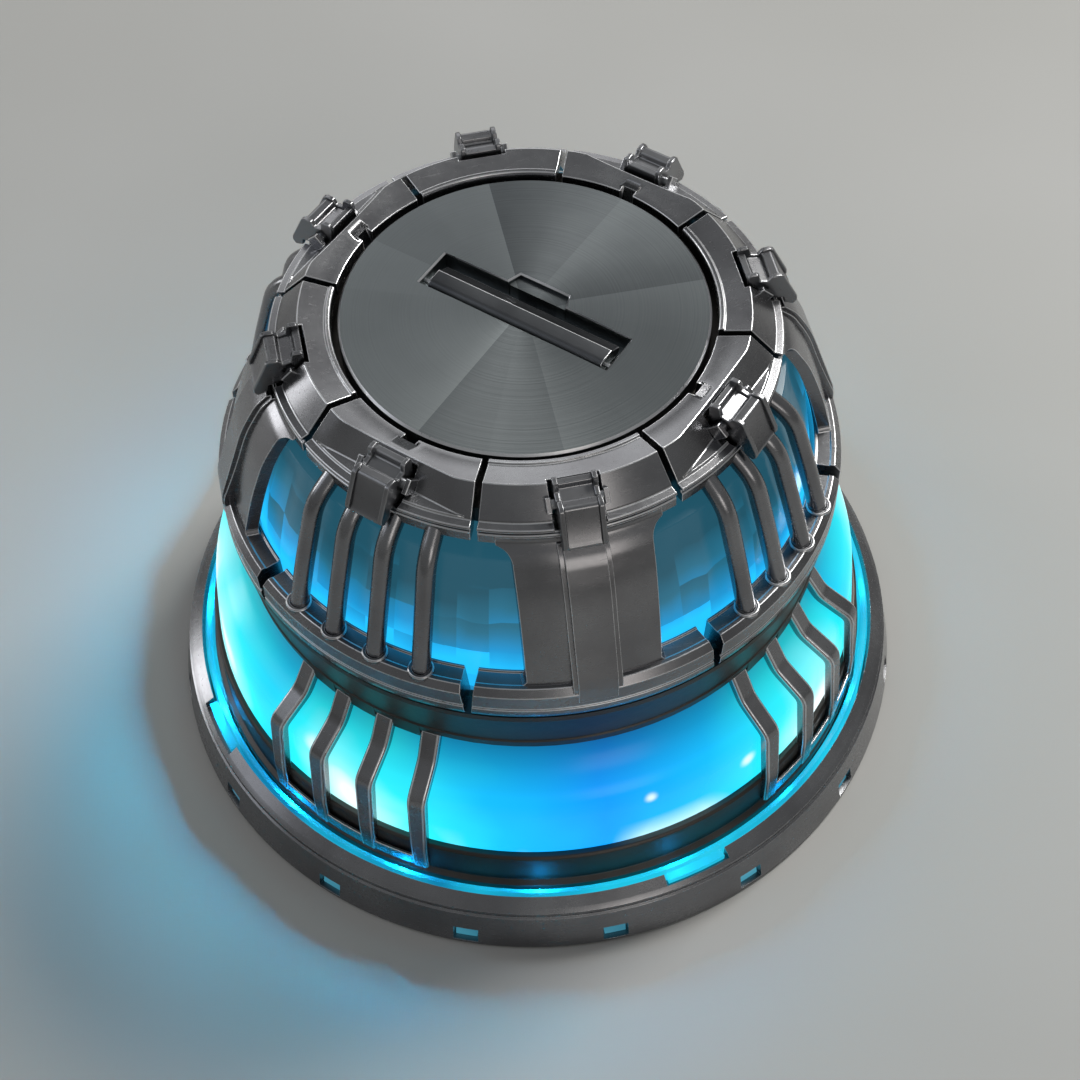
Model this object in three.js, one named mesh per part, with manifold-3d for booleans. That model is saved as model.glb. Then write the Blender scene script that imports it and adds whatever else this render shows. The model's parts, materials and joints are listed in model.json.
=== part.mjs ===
// Light-up spinning top: a turning dome with eight hinged petals on a lit stand.
// Millimetres, +Z up, origin on the spin axis where the stand meets the table.
// Azimuth 0 points along -Y and grows towards +X; petals sit every 45 degrees from there.
import * as THREE from 'three';
import { mergeVertices } from 'three/addons/utils/BufferGeometryUtils.js';
import Module from 'manifold-3d';

const wasm = await Module();
wasm.setup();

// ---- driving dimensions -------------------------------------------------------------------

// clearances
const seatGap = 0.3;            // between pieces that are fixed to each other
const runningGap = 0.35;        // between the turning dome and the stand
const petalGap = 0.6;           // between neighbouring petals
const hingeGap = 0.3;           // round a hinge pin
const swingRoom = 1.0;          // under a petal's top plate, for its swing

// stand
const baseRadius = 40;          // where the stand meets the table
const baseFlare = 1.04;         // how far the wall leans out between its top edge and the table
const baseEdgeHeight = 5.56;    // top outer edge of the stand
const baseLipHeight = 6.6;      // top inner edge of the stand
const baseLipWidth = 1.52;
const baseLift = 0.3;           // the metal ring stays clear of the table
const footHeight = 0.8;         // rubber ring that it stands on
const footWidth = 3;
const footInset = 1;
const plateThickness = 1.2;
const windowCount = 16;
const windowWidth = 2.6;
const windowHeight = 1.9;
const recessCount = 4;
const recessAzimuth = 14;
const recessLength = 7;
const recessDepth = 1.5;
const lightRingWall = 0.75;

// electrics inside the stand
const cellRadius = 10;
const cellHeight = 3.2;
const cellRoom = 1.6;           // between the cell and the bearing's collar
const doorMargin = 1;
const doorTabReach = 4.5;
const doorTabWidth = 5.2;
const contactThickness = 0.3;
const contactWidth = 7;
const boardThickness = 0.8;
const boardEdgeRoom = 1.2;
const ledSize = 5;
const ledHeight = 1;
const ledOrbit = 28;
const ledCount = 4;
const screwOrbit = 24;
const screwShaft = 0.8;
const screwHead = 1.6;
const screwHeadHeight = 0.5;
const switchOrbit = 27;
const switchTravel = 2.5;
const knobLength = 3;
const knobWidth = 2;
const knobDrop = 0.5;           // how far the knob shows below the plate

// bearing
const bearingRadius = 8;
const bearingBore = 4;
const bearingHeight = 4;
const raceWall = 1.3;
const bearingLift = 0.9;        // room under it for the hub screw's head
const collarWall = 1.6;

// turning lower tier
const lowerRingHeight = 4.4;    // above the stand's inner edge
const lowerRingWall = 2;
const lowerRingFoot = 1.1;      // height of the flange at its bottom
const ribDepth = 1;
const ribWidth = 1.9;
const ribPitch = 9.4;           // degrees
const ribsPerSet = 4;
const ribFootRail = 1.7;
const diffuserHeight = 13.1;
const diffuserWall = 1.2;
const shoulderRise = 7.8;       // from the lower ring to the bell's widest kink
const waistRise = 10.2;         // and to its upper kink
const floorThickness = 1.4;

// dome
const skirtRadius = 30.3;       // at the skirt's lower edge
const skirtHeight = 6.7;
const skirtWall = 1.6;
const rimRadius = 31.4;
const rimWidth = 2.8;
const rimHeight = 4;
const deckThickness = 1.4;
const petalCount = 8;
const openHeight = 13.8;        // windows between rim and flange
const flangeHeight = 4.6;
const flangeLean = 3.1;         // how far the flange slopes out below the crown
const kneeStep = 2.3;           // from the flange out to where the shoulder turns down
const kneeDrop = 1.8;           // below the flange
const bellySwell = 0.65;        // share of the way from knee to rim, halfway down
const panelWall = 1.3;
const panelWidth = 12.8;
const strapWidth = 3.8;
const strapRise = 0.7;
const tubeRadius = 0.9;
const tubePitch = 9.1;          // degrees
const tubesPerPetal = 4;
const shellWall = 1.2;
const shellRoom = 0.45;         // between the glowing shell and the petals

// crown
const discRadius = 17.56;
const discThickness = 2.7;
const discDrop = 0.3;           // below the petals' highest edge
const discGap = 0.64;
const crownWidth = 3.1;         // flat top of a petal, from its inner to its outer edge
const crownDip = 0.6;           // inner edge below the outer one
const crownPlate = 1.6;
const chordInset = 0.9;         // depth of the flat face on every other petal
const plateSeat = 2;            // thickness of the plate that carries the hinge clips
const hubRadius = 5;
const hubFlange = 10;
const hubFlangeHeight = 1.2;
const hubScrewShaft = 1.4;
const hubScrewHead = 2.6;

// petal hinge
const pinRadius = 0.5;
const knuckleWall = 0.55;
const knuckleLength = 1.8;
const clipWidth = 4.1;
const clipReach = 2.4;          // how far the clip's lower block stands off the fascia
const clipRise = 0.8;           // above the petals' highest edge

// folding grip
const slotLength = 20.9;
const slotNear = 2.4;           // from the middle line to the hinge side
const slotFar = 2.1;            // and to the finger side
const slotDepth = 2;
const nailLength = 6.8;
const nailDepth = 1.4;
const gripWidth = 3.35;
const gripThickness = 1.5;
const gripEndGap = 0.75;
const gripSink = 0.2;           // below the disc's face
const gripPinRadius = 0.25;
const gripPinSeat = 1.2;

const ringSteps = 48;
const smallSteps = 24;
const pinSteps = 12;

// ---- radii and levels that follow ---------------------------------------------------------

const baseEdgeRadius = baseRadius - baseFlare;
const baseInner = baseEdgeRadius - baseLipWidth;
const lightOuter = baseInner - seatGap;
const lightInner = lightOuter - lightRingWall;
const lowerRadius = lightInner - runningGap;
const bandRadius = lowerRadius - seatGap - ribDepth / 2 + 0.2;
const lowerInner = bandRadius - lowerRingWall;

const plateBottom = footHeight + seatGap;
const plateTop = plateBottom + plateThickness;
const plateRadius = lightInner - seatGap;
const bearingBottom = plateTop + bearingLift;
const bearingTop = bearingBottom + bearingHeight;
const cellBottom = plateTop + 0.1;
const contactBottom = cellBottom + cellHeight + 0.1;
const boardBottom = contactBottom + contactThickness + 0.4;
const boardTop = boardBottom + boardThickness;
const boardOuter = lowerInner - boardEdgeRoom;
const collarRadius = bearingRadius + seatGap + collarWall;
const boardInner = collarRadius + 1.1;
const cellOffset = collarRadius + cellRoom + cellRadius;
const hubFlangeBottom = bearingTop + seatGap;
const lowerBottom = baseEdgeHeight - 0.4;
const lowerTop = baseLipHeight + lowerRingHeight;
const floorTop = lowerTop - 0.2;
const floorBottom = floorTop - floorThickness;

const skirtBottom = lowerTop + seatGap + diffuserHeight;
const skirtTop = skirtBottom + skirtHeight;
const rimBottom = skirtTop + 0.4;
const rimTop = rimBottom + rimHeight;
const rimInner = rimRadius - rimWidth;
const deckTop = skirtTop - 0.2;
const deckBottom = deckTop - deckThickness;
const flangeBottom = rimTop + openHeight;
const crownTop = flangeBottom + flangeHeight;
const crownInner = discRadius + discGap;
const crownOuter = crownInner + crownWidth;
const flangeRadius = crownOuter + flangeLean;
const kneeRadius = flangeRadius + kneeStep;
const bellyRadius = kneeRadius + (rimRadius - 1 - kneeRadius) * bellySwell;
const discTop = crownTop - discDrop;
const discBottom = discTop - discThickness;
const seatTop = crownTop - crownDip - crownPlate - swingRoom - 0.2;
const seatBottom = seatTop - plateSeat;

const hingeRadius = (crownOuter + flangeRadius) / 2 - 0.4;
const hingeHeight = crownTop - 1.45;
const knuckleRadius = pinRadius + hingeGap + knuckleWall;
const notchWidth = clipWidth + 2 * hingeGap;
const notchInner = crownOuter - 0.6;
const gripAxis = -(slotNear - seatGap - gripThickness / 2);
const gripLevel = discTop - gripSink - gripThickness / 2;

// Outline of the bell, from its foot on the lower ring up to the skirt: radius and height.
const bell = [
  [lowerRadius + 0.1, lowerTop + seatGap],
  [lowerRadius - 0.6, lowerTop + shoulderRise],
  [skirtRadius + 1.7, lowerTop + waistRise],
  [skirtRadius, skirtBottom - seatGap],
];

// Outer face of a petal between rim and flange.
const petalFace = [
  [rimRadius - 1, rimTop],
  [bellyRadius, (rimTop + flangeBottom - kneeDrop) / 2 - 1],
  [kneeRadius, flangeBottom - kneeDrop],
  [flangeRadius, flangeBottom + 0.3],
];

// ---- materials ----------------------------------------------------------------------------

const finish = (color, roughness, metalness, extra = {}) =>
  new THREE.MeshStandardMaterial({ color, roughness, metalness, ...extra });
const gunmetal = finish(0x5c5d61, 0.32, 1);
const darkGunmetal = finish(0x44464a, 0.38, 1);
const brushedDisc = finish(0x6a6d70, 0.3, 1);
const steel = finish(0xb9bcc0, 0.25, 1);
const cyanClear = finish(0x35d8f5, 0.2, 0, { transparent: true, opacity: 0.8 });
const tealClear = finish(0x2b8fa6, 0.2, 0, { transparent: true, opacity: 0.7 });
const clear = finish(0xdff4fa, 0.1, 0, { transparent: true, opacity: 0.4 });
const blackPlastic = finish(0x1d1f22, 0.5, 0);
const boardGreen = finish(0x1c5a3a, 0.5, 0);
const rubber = finish(0x18191b, 0.8, 0);
const ledWhite = finish(0xf3f7d8, 0.3, 0);
const brass = finish(0xc9a54c, 0.3, 1);

// ---- shape helpers ------------------------------------------------------------------------

// Turns a closed three.js geometry into a solid that can be joined and cut.
function toSolid(geometry) {
  const loose = geometry.index ? geometry.toNonIndexed() : geometry;
  const bare = new THREE.BufferGeometry();
  bare.setAttribute('position', loose.getAttribute('position'));
  const merged = mergeVertices(bare, 1e-4);
  const triVerts = new Uint32Array(merged.index.array);
  const vertProperties = merged.attributes.position.array;
  return new wasm.Manifold(new wasm.Mesh({ numProp: 3, vertProperties, triVerts }));
}

function toGeometry(solid) {
  const mesh = solid.getMesh();
  const geometry = new THREE.BufferGeometry();
  geometry.setAttribute('position', new THREE.BufferAttribute(mesh.vertProperties, 3));
  geometry.setIndex(new THREE.BufferAttribute(mesh.triVerts, 1));
  const flat = geometry.toNonIndexed();
  flat.computeVertexNormals();
  return flat;
}

const vec = ([x, y]) => new THREE.Vector2(x, y);
const radial = (azimuth) => azimuth - 90;    // turns a piece built along +X to its azimuth

// Outline of radius and height, listed upwards on the outside, turned about Z.
function turned(outline, steps = ringSteps, closed = true) {
  const points = outline.map(vec);
  if (closed) points.push(points[0].clone());
  return toSolid(new THREE.LatheGeometry(points, steps).rotateX(Math.PI / 2));
}

function tube(inner, outer, low, high, steps = ringSteps) {
  return turned([[outer, low], [outer, high], [inner, high], [inner, low]], steps);
}

function rod(radius, low, high, steps = smallSteps) {
  return turned([[0, low], [radius, low], [radius, high], [0, high]], steps, false);
}

function block(x, y, z) {
  const size = [x[1] - x[0], y[1] - y[0], z[1] - z[0]];
  const middle = [(x[0] + x[1]) / 2, (y[0] + y[1]) / 2, (z[0] + z[1]) / 2];
  return toSolid(new THREE.BoxGeometry(...size).translate(...middle));
}

// Outline in plan, carried from one level up to another.
function upright(outline, low, high) {
  const shape = new THREE.Shape(outline.map(vec));
  const options = { depth: high - low, bevelEnabled: false };
  return toSolid(new THREE.ExtrudeGeometry(shape, options).translate(0, 0, low));
}

// Outline of radius and height on the local XZ plane, given a width along Y.
function slab(outline, width) {
  const shape = new THREE.Shape(outline.map(vec));
  const geometry = new THREE.ExtrudeGeometry(shape, { depth: width, bevelEnabled: false });
  return toSolid(geometry.translate(0, 0, -width / 2).rotateX(Math.PI / 2));
}

// Rod lying along local Y at a given radius and height.
function crossRod(radius, length, x, z) {
  const geometry = new THREE.CylinderGeometry(radius, radius, length, pinSteps);
  return toSolid(geometry.translate(x, 0, z));
}

// Sector of plan, symmetric about +X, whose two sides stand back from the seams by half a gap.
function sector(halfAngle, gap, low, high) {
  const half = THREE.MathUtils.degToRad(halfAngle);
  const apex = gap / 2 / Math.sin(half);
  const reach = 2 * baseRadius;
  const side = [apex + reach * Math.cos(half), reach * Math.sin(half)];
  return upright([[apex, 0], [side[0], -side[1]], side], low, high);
}

const turn = (solid, degrees) => solid.rotate([0, 0, degrees]);
const joined = (solids) => solids.reduce((whole, next) => whole.add(next));
const cut = (solid, tools) => tools.reduce((rest, tool) => rest.subtract(tool), solid);
const every = (count, make) => Array.from({ length: count }, (_, index) => make(index));
const shifted = (outline, by) => outline.map(([r, z]) => [r + by, z]);

// Wall between an outer face, listed upwards, and the same face moved inwards.
const wallOf = (face, wall) => [...face, ...shifted(face, -wall).reverse()];

const top = new THREE.Group();

function add(name, solid, material, parent = top) {
  const mesh = new THREE.Mesh(toGeometry(solid), material);
  mesh.name = name;
  parent.add(mesh);
  return mesh;
}

// ---- stand --------------------------------------------------------------------------------

const recesses = every(recessCount, (k) => {
  const high = baseLipHeight + 1;
  const cutter = block([baseInner - 1, baseInner + 1], [-recessLength / 2, recessLength / 2],
    [baseLipHeight - recessDepth, high]);
  return turn(cutter, radial(recessAzimuth + (k * 360) / recessCount));
});

function baseRing() {
  const profile = [
    [baseRadius, baseLift],
    [baseEdgeRadius, baseEdgeHeight],
    [baseInner, baseLipHeight],
    [baseInner, baseLift],
  ];
  const windows = every(windowCount, (k) => {
    const sill = baseLift + 0.3;
    const cutter = block([baseInner - 1, baseRadius + 1], [-windowWidth / 2, windowWidth / 2],
      [sill, sill + windowHeight]);
    return turn(cutter, radial((k * 360) / windowCount));
  });
  return cut(turned(profile), [...windows, ...recesses]);
}

// Clear light guide: a thin ring with a tab in each recess of the stand.
function lightRing() {
  const guide = tube(lightInner, lightOuter, baseLift + 0.2, baseLipHeight - 0.1);
  const level = baseLipHeight - recessDepth + seatGap;
  const tabs = every(recessCount, (k) => {
    const half = recessLength / 2 - seatGap;
    const tab = block([lightOuter - 0.4, baseInner + 0.6], [-half, half], [level, level + 0.7]);
    return turn(tab, radial(recessAzimuth + (k * 360) / recessCount));
  });
  return joined([guide, ...tabs]);
}

// Outline of the battery door in plan: a disc under the cell with a tab for its screw.
function doorShape(margin, low, high) {
  const radius = cellRadius + doorMargin + margin;
  const lid = rod(radius, low, high).translate([0, -cellOffset, 0]);
  const reach = cellRadius + doorMargin + doorTabReach + margin;
  const half = doorTabWidth / 2 + margin;
  const tab = block([0, reach], [-cellOffset - half, -cellOffset + half], [low, high]);
  return lid.add(tab);
}

const doorScrewX = cellRadius + doorMargin + doorTabReach / 2;
const screwAzimuths = [90, 205, 270];
const bossTop = boardBottom - seatGap;

function basePlate() {
  const collar = tube(bearingRadius + seatGap, collarRadius, plateTop - 0.2, bearingTop - 0.4);
  const ledge = tube(bearingRadius - 1, bearingRadius + seatGap + 0.2, plateTop - 0.2,
    bearingBottom - 0.1);
  const bosses = screwAzimuths.map((azimuth) => {
    const boss = rod(screwHead + 0.6, plateTop - 0.2, bossTop, pinSteps);
    return turn(boss.translate([screwOrbit, 0, 0]), radial(azimuth));
  });
  const bridgeEnd = cellRadius + doorMargin + doorTabReach + 2;
  const half = doorTabWidth / 2;
  const bridge = block([cellRadius + 1, bridgeEnd], [-cellOffset - half, -cellOffset + half],
    [plateTop + seatGap - 0.1, bossTop - 0.6]);
  const post = block([bridgeEnd - 1.6, bridgeEnd], [-cellOffset - half, -cellOffset + half],
    [plateTop - 0.2, bossTop - 0.6]);
  const travel = knobLength + switchTravel + 2 * seatGap;
  const knobSlot = block([-travel / 2, travel / 2],
    [switchOrbit - knobWidth / 2 - seatGap, switchOrbit + knobWidth / 2 + seatGap],
    [plateBottom - 1, plateTop + 1]);
  const screwHoles = screwAzimuths.map((azimuth) => {
    const hole = rod(screwShaft + seatGap, plateTop + 0.4, bossTop + 1, pinSteps);
    return turn(hole.translate([screwOrbit, 0, 0]), radial(azimuth));
  });
  const doorHole = rod(screwShaft + seatGap, plateBottom, bossTop, pinSteps)
    .translate([doorScrewX, -cellOffset, 0]);
  const disc = rod(plateRadius, plateBottom, plateTop, ringSteps);
  const opened = cut(disc, [doorShape(seatGap, plateBottom - 1, plateTop + 1), knobSlot]);
  return cut(joined([opened, collar, ledge, ...bosses, bridge, post]), [...screwHoles, doorHole]);
}

function batteryDoor() {
  const hole = rod(screwShaft + seatGap, 0, bossTop, pinSteps);
  return doorShape(0, plateBottom, plateTop - 0.2)
    .subtract(hole.translate([doorScrewX, -cellOffset, 0]));
}

// Pan-head screw pointing up from its head.
function screw(shaft, head, level, length) {
  return rod(head, level, level + screwHeadHeight, pinSteps)
    .add(rod(shaft, level + 0.1, level + length, pinSteps));
}

function ledBoard() {
  const ring = tube(boardInner, boardOuter, boardBottom, boardTop);
  const holes = screwAzimuths.map((azimuth) => {
    const hole = rod(screwShaft + seatGap, boardBottom - 1, boardTop + 1, pinSteps);
    return turn(hole.translate([screwOrbit, 0, 0]), radial(azimuth));
  });
  return cut(ring, holes);
}

// Leaf contact over the cell, with a foot beside it.
function contactLeaf() {
  const half = contactWidth / 2;
  const leaf = block([-cellRadius - 1.6, cellRadius - 2], [-cellOffset - half, -cellOffset + half],
    [contactBottom, contactBottom + contactThickness]);
  const foot = block([-cellRadius - 1.6, -cellRadius - 1.2],
    [-cellOffset - half, -cellOffset + half], [plateTop + 1, contactBottom + 0.1]);
  return leaf.add(foot);
}

function switchSlider() {
  const knob = block([-knobLength / 2 - switchTravel / 2, knobLength / 2 - switchTravel / 2],
    [switchOrbit - knobWidth / 2, switchOrbit + knobWidth / 2],
    [plateBottom - knobDrop, plateTop + seatGap + 0.2]);
  const carriage = block([-knobLength - switchTravel / 2, knobLength - switchTravel / 2],
    [switchOrbit - knobWidth, switchOrbit + knobWidth], [plateTop + seatGap, plateTop + 1.4]);
  return knob.add(carriage);
}

function ballCage() {
  const middle = (bearingRadius + bearingBore) / 2;
  const count = 7;
  const half = (bearingRadius - bearingBore) / 2 - raceWall - 0.15;
  const centre = (bearingBottom + bearingTop) / 2;
  const band = tube(middle - half / 2, middle + half / 2, centre - 0.4, centre + 0.4, smallSteps);
  const balls = every(count, (k) => {
    const ball = toSolid(new THREE.SphereGeometry(half, 8, 4));
    return turn(ball.translate([middle, 0, centre]), (k * 360) / count);
  });
  return joined([band, ...balls]);
}

add('base_ring', baseRing(), gunmetal);
add('light_ring', lightRing(), cyanClear);
add('base_plate', basePlate(), blackPlastic);
add('foot_ring', tube(plateRadius - footInset - footWidth, plateRadius - footInset, 0,
  footHeight), rubber);
add('battery_door', batteryDoor(), blackPlastic);
add('door_screw', screw(screwShaft, screwHead, plateBottom - seatGap - screwHeadHeight + 0.2,
  4.5).translate([doorScrewX, -cellOffset, 0]), steel);
add('battery_cell', rod(cellRadius, cellBottom, cellBottom + cellHeight, smallSteps)
  .translate([0, -cellOffset, 0]), steel);
add('contact_leaf', contactLeaf(), brass);
add('led_board', ledBoard(), boardGreen);
every(ledCount, (k) => {
  const half = ledSize / 2;
  const chip = block([ledOrbit - half, ledOrbit + half], [-half, half],
    [boardTop + 0.1, boardTop + 0.1 + ledHeight]);
  return add(`led_${k + 1}`, turn(chip, radial(45 + (k * 360) / ledCount)), ledWhite);
});
screwAzimuths.forEach((azimuth, k) => {
  const head = rod(screwHead, boardTop + 0.1, boardTop + 0.1 + screwHeadHeight, pinSteps);
  const shaft = rod(screwShaft, plateTop + 0.8, boardTop + 0.2, pinSteps);
  const whole = head.add(shaft).translate([screwOrbit, 0, 0]);
  add(`board_screw_${k + 1}`, turn(whole, radial(azimuth)), steel);
});
add('switch_slider', switchSlider(), blackPlastic);
add('bearing_outer', tube(bearingRadius - raceWall, bearingRadius, bearingBottom, bearingTop,
  smallSteps), steel);
add('ball_cage', ballCage(), steel);

// ---- turning core -------------------------------------------------------------------------

function hub() {
  const profile = [
    [0, bearingBottom + 0.1],
    [bearingBore - seatGap, bearingBottom + 0.1],
    [bearingBore - seatGap, hubFlangeBottom],
    [hubFlange, hubFlangeBottom],
    [hubFlange, hubFlangeBottom + hubFlangeHeight],
    [hubRadius, hubFlangeBottom + hubFlangeHeight],
    [hubRadius, seatTop],
    [0, seatTop],
  ];
  const bore = rod(hubScrewShaft + seatGap, 0, bearingTop, pinSteps);
  return turned(profile, smallSteps, false).subtract(bore);
}

add('bearing_inner', tube(bearingBore, bearingBore + raceWall, bearingBottom, bearingTop,
  smallSteps), steel);
add('hub', hub(), darkGunmetal);
add('hub_screw', screw(hubScrewShaft, hubScrewHead, plateTop + 0.2, 4), steel);
add('floor_lens', tube(hubRadius + seatGap, lowerInner - seatGap, floorBottom, floorTop), clear);

// ---- turning lower tier -------------------------------------------------------------------

function lowerRing() {
  return turned([
    [lowerRadius, lowerBottom],
    [lowerRadius, lowerBottom + lowerRingFoot],
    [bandRadius, lowerBottom + lowerRingFoot + 0.5],
    [bandRadius, lowerTop],
    [lowerInner, lowerTop],
    [lowerInner, lowerBottom],
  ]);
}

const ribInset = seatGap + ribDepth;

// Bent rib that follows the bell, with its foot in front of the lower ring.
function rib() {
  const foot = [lowerRadius + 0.1, lowerBottom + lowerRingFoot + 0.9];
  const face = [foot, ...bell];
  const back = shifted(bell, -ribDepth).reverse();
  return slab([...face, ...back, [bandRadius + seatGap, lowerTop + 0.2],
    [bandRadius + seatGap, foot[1]]], ribWidth);
}

function ribSet() {
  const span = (ribsPerSet - 1) * ribPitch;
  const ribs = every(ribsPerSet, (k) => turn(rib(), k * ribPitch - span / 2));
  const level = lowerBottom + lowerRingFoot + 0.9;
  const band = tube(bandRadius + seatGap, lowerRadius, level, level + ribFootRail);
  const rail = band.intersect(sector(span / 2, 0, level - 1, level + ribFootRail + 1));
  return joined([rail, ...ribs]);
}

function skirtRing() {
  const inner = skirtRadius - skirtWall;
  return turned([
    [skirtRadius, skirtBottom],
    [rimRadius - 0.2, skirtTop],
    [inner + 0.6, skirtTop],
    [inner, skirtBottom],
  ]);
}

add('lower_ring', lowerRing(), darkGunmetal);
add('diffuser', turned(wallOf(shifted(bell, -ribInset), diffuserWall)), cyanClear);
every(4, (k) => add(`rib_set_${k + 1}`, turn(ribSet(), radial(45 + 90 * k)), gunmetal));
add('skirt_ring', skirtRing(), gunmetal);
add('mid_deck', tube(hubRadius + seatGap, skirtRadius - skirtWall - seatGap, deckBottom, deckTop),
  clear);

// Glowing shell behind the petals.
function innerShell() {
  const room = panelWall + shellRoom;
  const face = [
    [rimInner - shellRoom, deckTop + seatGap],
    [rimInner - shellRoom, rimTop],
    [petalFace[1][0] - room, petalFace[1][1]],
    [petalFace[2][0] - room, petalFace[2][1]],
    [crownOuter - 0.4, seatBottom - seatGap],
  ];
  return turned(wallOf(face, shellWall));
}

add('inner_shell', innerShell(), tealClear);

// ---- crown --------------------------------------------------------------------------------

add('clip_plate', tube(hubRadius + seatGap, crownOuter + 0.3, seatBottom, seatTop), darkGunmetal);

const slotAzimuth = 45;
const alongSlot = (solid) => turn(solid, radial(slotAzimuth));

function topDisc() {
  const disc = rod(discRadius, discBottom, discTop, ringSteps);
  const half = slotLength / 2;
  const floor = discTop - slotDepth;
  const slot = block([-half, half], [-slotNear, slotFar], [floor, discTop + 1]);
  const nail = upright([
    [-nailLength / 2, slotFar - 0.5],
    [nailLength / 2, slotFar - 0.5],
    [nailLength / 2 - nailDepth / 2, slotFar + nailDepth],
    [-nailLength / 2 + nailDepth / 2, slotFar + nailDepth],
  ], floor, discTop + 1);
  const seat = new THREE.CylinderGeometry(gripPinRadius + 0.25, gripPinRadius + 0.25,
    slotLength + 2 * gripPinSeat, pinSteps);
  const pinSeat = toSolid(seat.rotateZ(Math.PI / 2).translate(0, gripAxis, gripLevel));
  return disc.subtract(alongSlot(joined([slot, nail, pinSeat])));
}

// Flat bar with a rounded hinge edge, lying in the slot.
function gripBar() {
  const half = slotLength / 2 - gripEndGap;
  const radius = gripThickness / 2;
  const far = gripAxis - radius + gripWidth;
  const bar = block([-half, half], [gripAxis, far], [gripLevel - radius, gripLevel + radius]);
  const edge = new THREE.CylinderGeometry(radius, radius, 2 * half, pinSteps);
  const barrel = toSolid(edge.rotateZ(Math.PI / 2).translate(0, gripAxis, gripLevel));
  const bore = new THREE.CylinderGeometry(gripPinRadius + 0.25, gripPinRadius + 0.25, slotLength,
    pinSteps);
  const hole = toSolid(bore.rotateZ(Math.PI / 2).translate(0, gripAxis, gripLevel));
  return alongSlot(bar.add(barrel).subtract(hole));
}

function gripPin() {
  const length = slotLength + 2 * gripPinSeat - 0.6;
  const pin = new THREE.CylinderGeometry(gripPinRadius, gripPinRadius, length, pinSteps);
  return alongSlot(toSolid(pin.rotateZ(Math.PI / 2).translate(0, gripAxis, gripLevel)));
}

add('top_disc', topDisc(), brushedDisc);
add('grip_bar', gripBar(), gunmetal);
add('grip_pin', gripPin(), steel);

// ---- petals -------------------------------------------------------------------------------

// Top plate, fascia and lower band of a petal.
const flangeProfile = [
  [flangeRadius - panelWall, flangeBottom],
  [flangeRadius, flangeBottom],
  [flangeRadius - 0.5, flangeBottom + 1.8],
  [crownOuter, crownTop],
  [crownInner, crownTop - crownDip],
  [crownInner, crownTop - crownDip - crownPlate],
  [crownOuter - 0.7, crownTop - crownPlate],
];

const rimProfile = [
  [rimRadius, rimBottom],
  [rimRadius, rimTop],
  [rimInner, rimTop],
  [rimInner, rimBottom],
];

const flangeRing = turned(flangeProfile);
const rimRing = turned(rimProfile);
const petalSector = sector(180 / petalCount, petalGap, 0, crownTop + 5);

// Cut-out that the hinge clip stands in, and the two knuckles beside it.
function hingeFitted(petal) {
  const sill = flangeBottom + 1.3;
  const half = notchWidth / 2;
  const notch = block([notchInner, flangeRadius + 5], [-half, half], [sill, crownTop + 2]);
  const barrel = crossRod(knuckleRadius, notchWidth + 2 * knuckleLength, hingeRadius, hingeHeight);
  const bore = crossRod(pinRadius + hingeGap, 2 * notchWidth + 8, hingeRadius, hingeHeight);
  return cut(petal.add(barrel), [notch, bore]);
}

// Petal with a solid panel and a raised strap between two windows.
function strapPetal() {
  const wall = wallOf(petalFace, panelWall);
  const panel = turned(wall).intersect(block([0, 2 * rimRadius],
    [-panelWidth / 2, panelWidth / 2], [0, crownTop]));
  const strapFace = shifted(petalFace, strapRise);
  const rimFace = [rimRadius, rimTop - 2];
  const strap = slab([
    [rimFace[0] - 1, rimFace[1]],
    rimFace,
    [rimFace[0], rimTop + 0.4],
    ...strapFace.slice(1, 3),
    [flangeRadius + strapRise, flangeBottom + 0.9],
    [flangeRadius - 0.8, flangeBottom + 0.9],
    ...shifted(petalFace.slice(0, 3), -panelWall / 2).reverse(),
  ], strapWidth);
  const frame = joined([flangeRing, rimRing]).intersect(petalSector);
  return hingeFitted(joined([frame, panel, strap]));
}

// Round bar bent at the shoulder, from the flange down into the rim.
function tubeRib() {
  const inward = tubeRadius + 0.1;
  const path = new THREE.CatmullRomCurve3([
    new THREE.Vector3(flangeRadius - 0.9, 0, flangeBottom + 0.5),
    new THREE.Vector3(kneeRadius - inward + 0.6, 0, flangeBottom - kneeDrop + 0.3),
    new THREE.Vector3(kneeRadius - inward + 1.5, 0, flangeBottom - kneeDrop - 1.4),
    new THREE.Vector3(bellyRadius - inward + 0.4, 0, petalFace[1][1]),
    new THREE.Vector3(rimRadius - rimWidth / 2, 0, rimTop - 0.5),
  ]);
  const corners = every(6, (k) => [
    tubeRadius * Math.cos((k * Math.PI) / 3),
    tubeRadius * Math.sin((k * Math.PI) / 3),
  ]);
  const shape = new THREE.Shape(corners.map(vec));
  return toSolid(new THREE.ExtrudeGeometry(shape, { steps: 8, extrudePath: path }));
}

// Petal with four bent bars and a flat face on its crown.
function barPetal() {
  const span = (tubesPerPetal - 1) * tubePitch;
  const bars = every(tubesPerPetal, (k) => turn(tubeRib(), k * tubePitch - span / 2));
  const frame = joined([flangeRing, rimRing]).intersect(petalSector);
  const depth = crownTop - flangeBottom - 2.4;
  const slope = (flangeRadius - crownOuter) / flangeHeight;
  const facet = slab([
    [crownOuter - chordInset, crownTop + 0.01],
    [crownOuter - chordInset + depth * slope * 1.1, crownTop - depth],
    [crownOuter + 9, crownTop - depth],
    [crownOuter + 9, crownTop + 0.01],
  ], 2 * baseRadius);
  return hingeFitted(joined([frame.subtract(facet), ...bars]));
}

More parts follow.
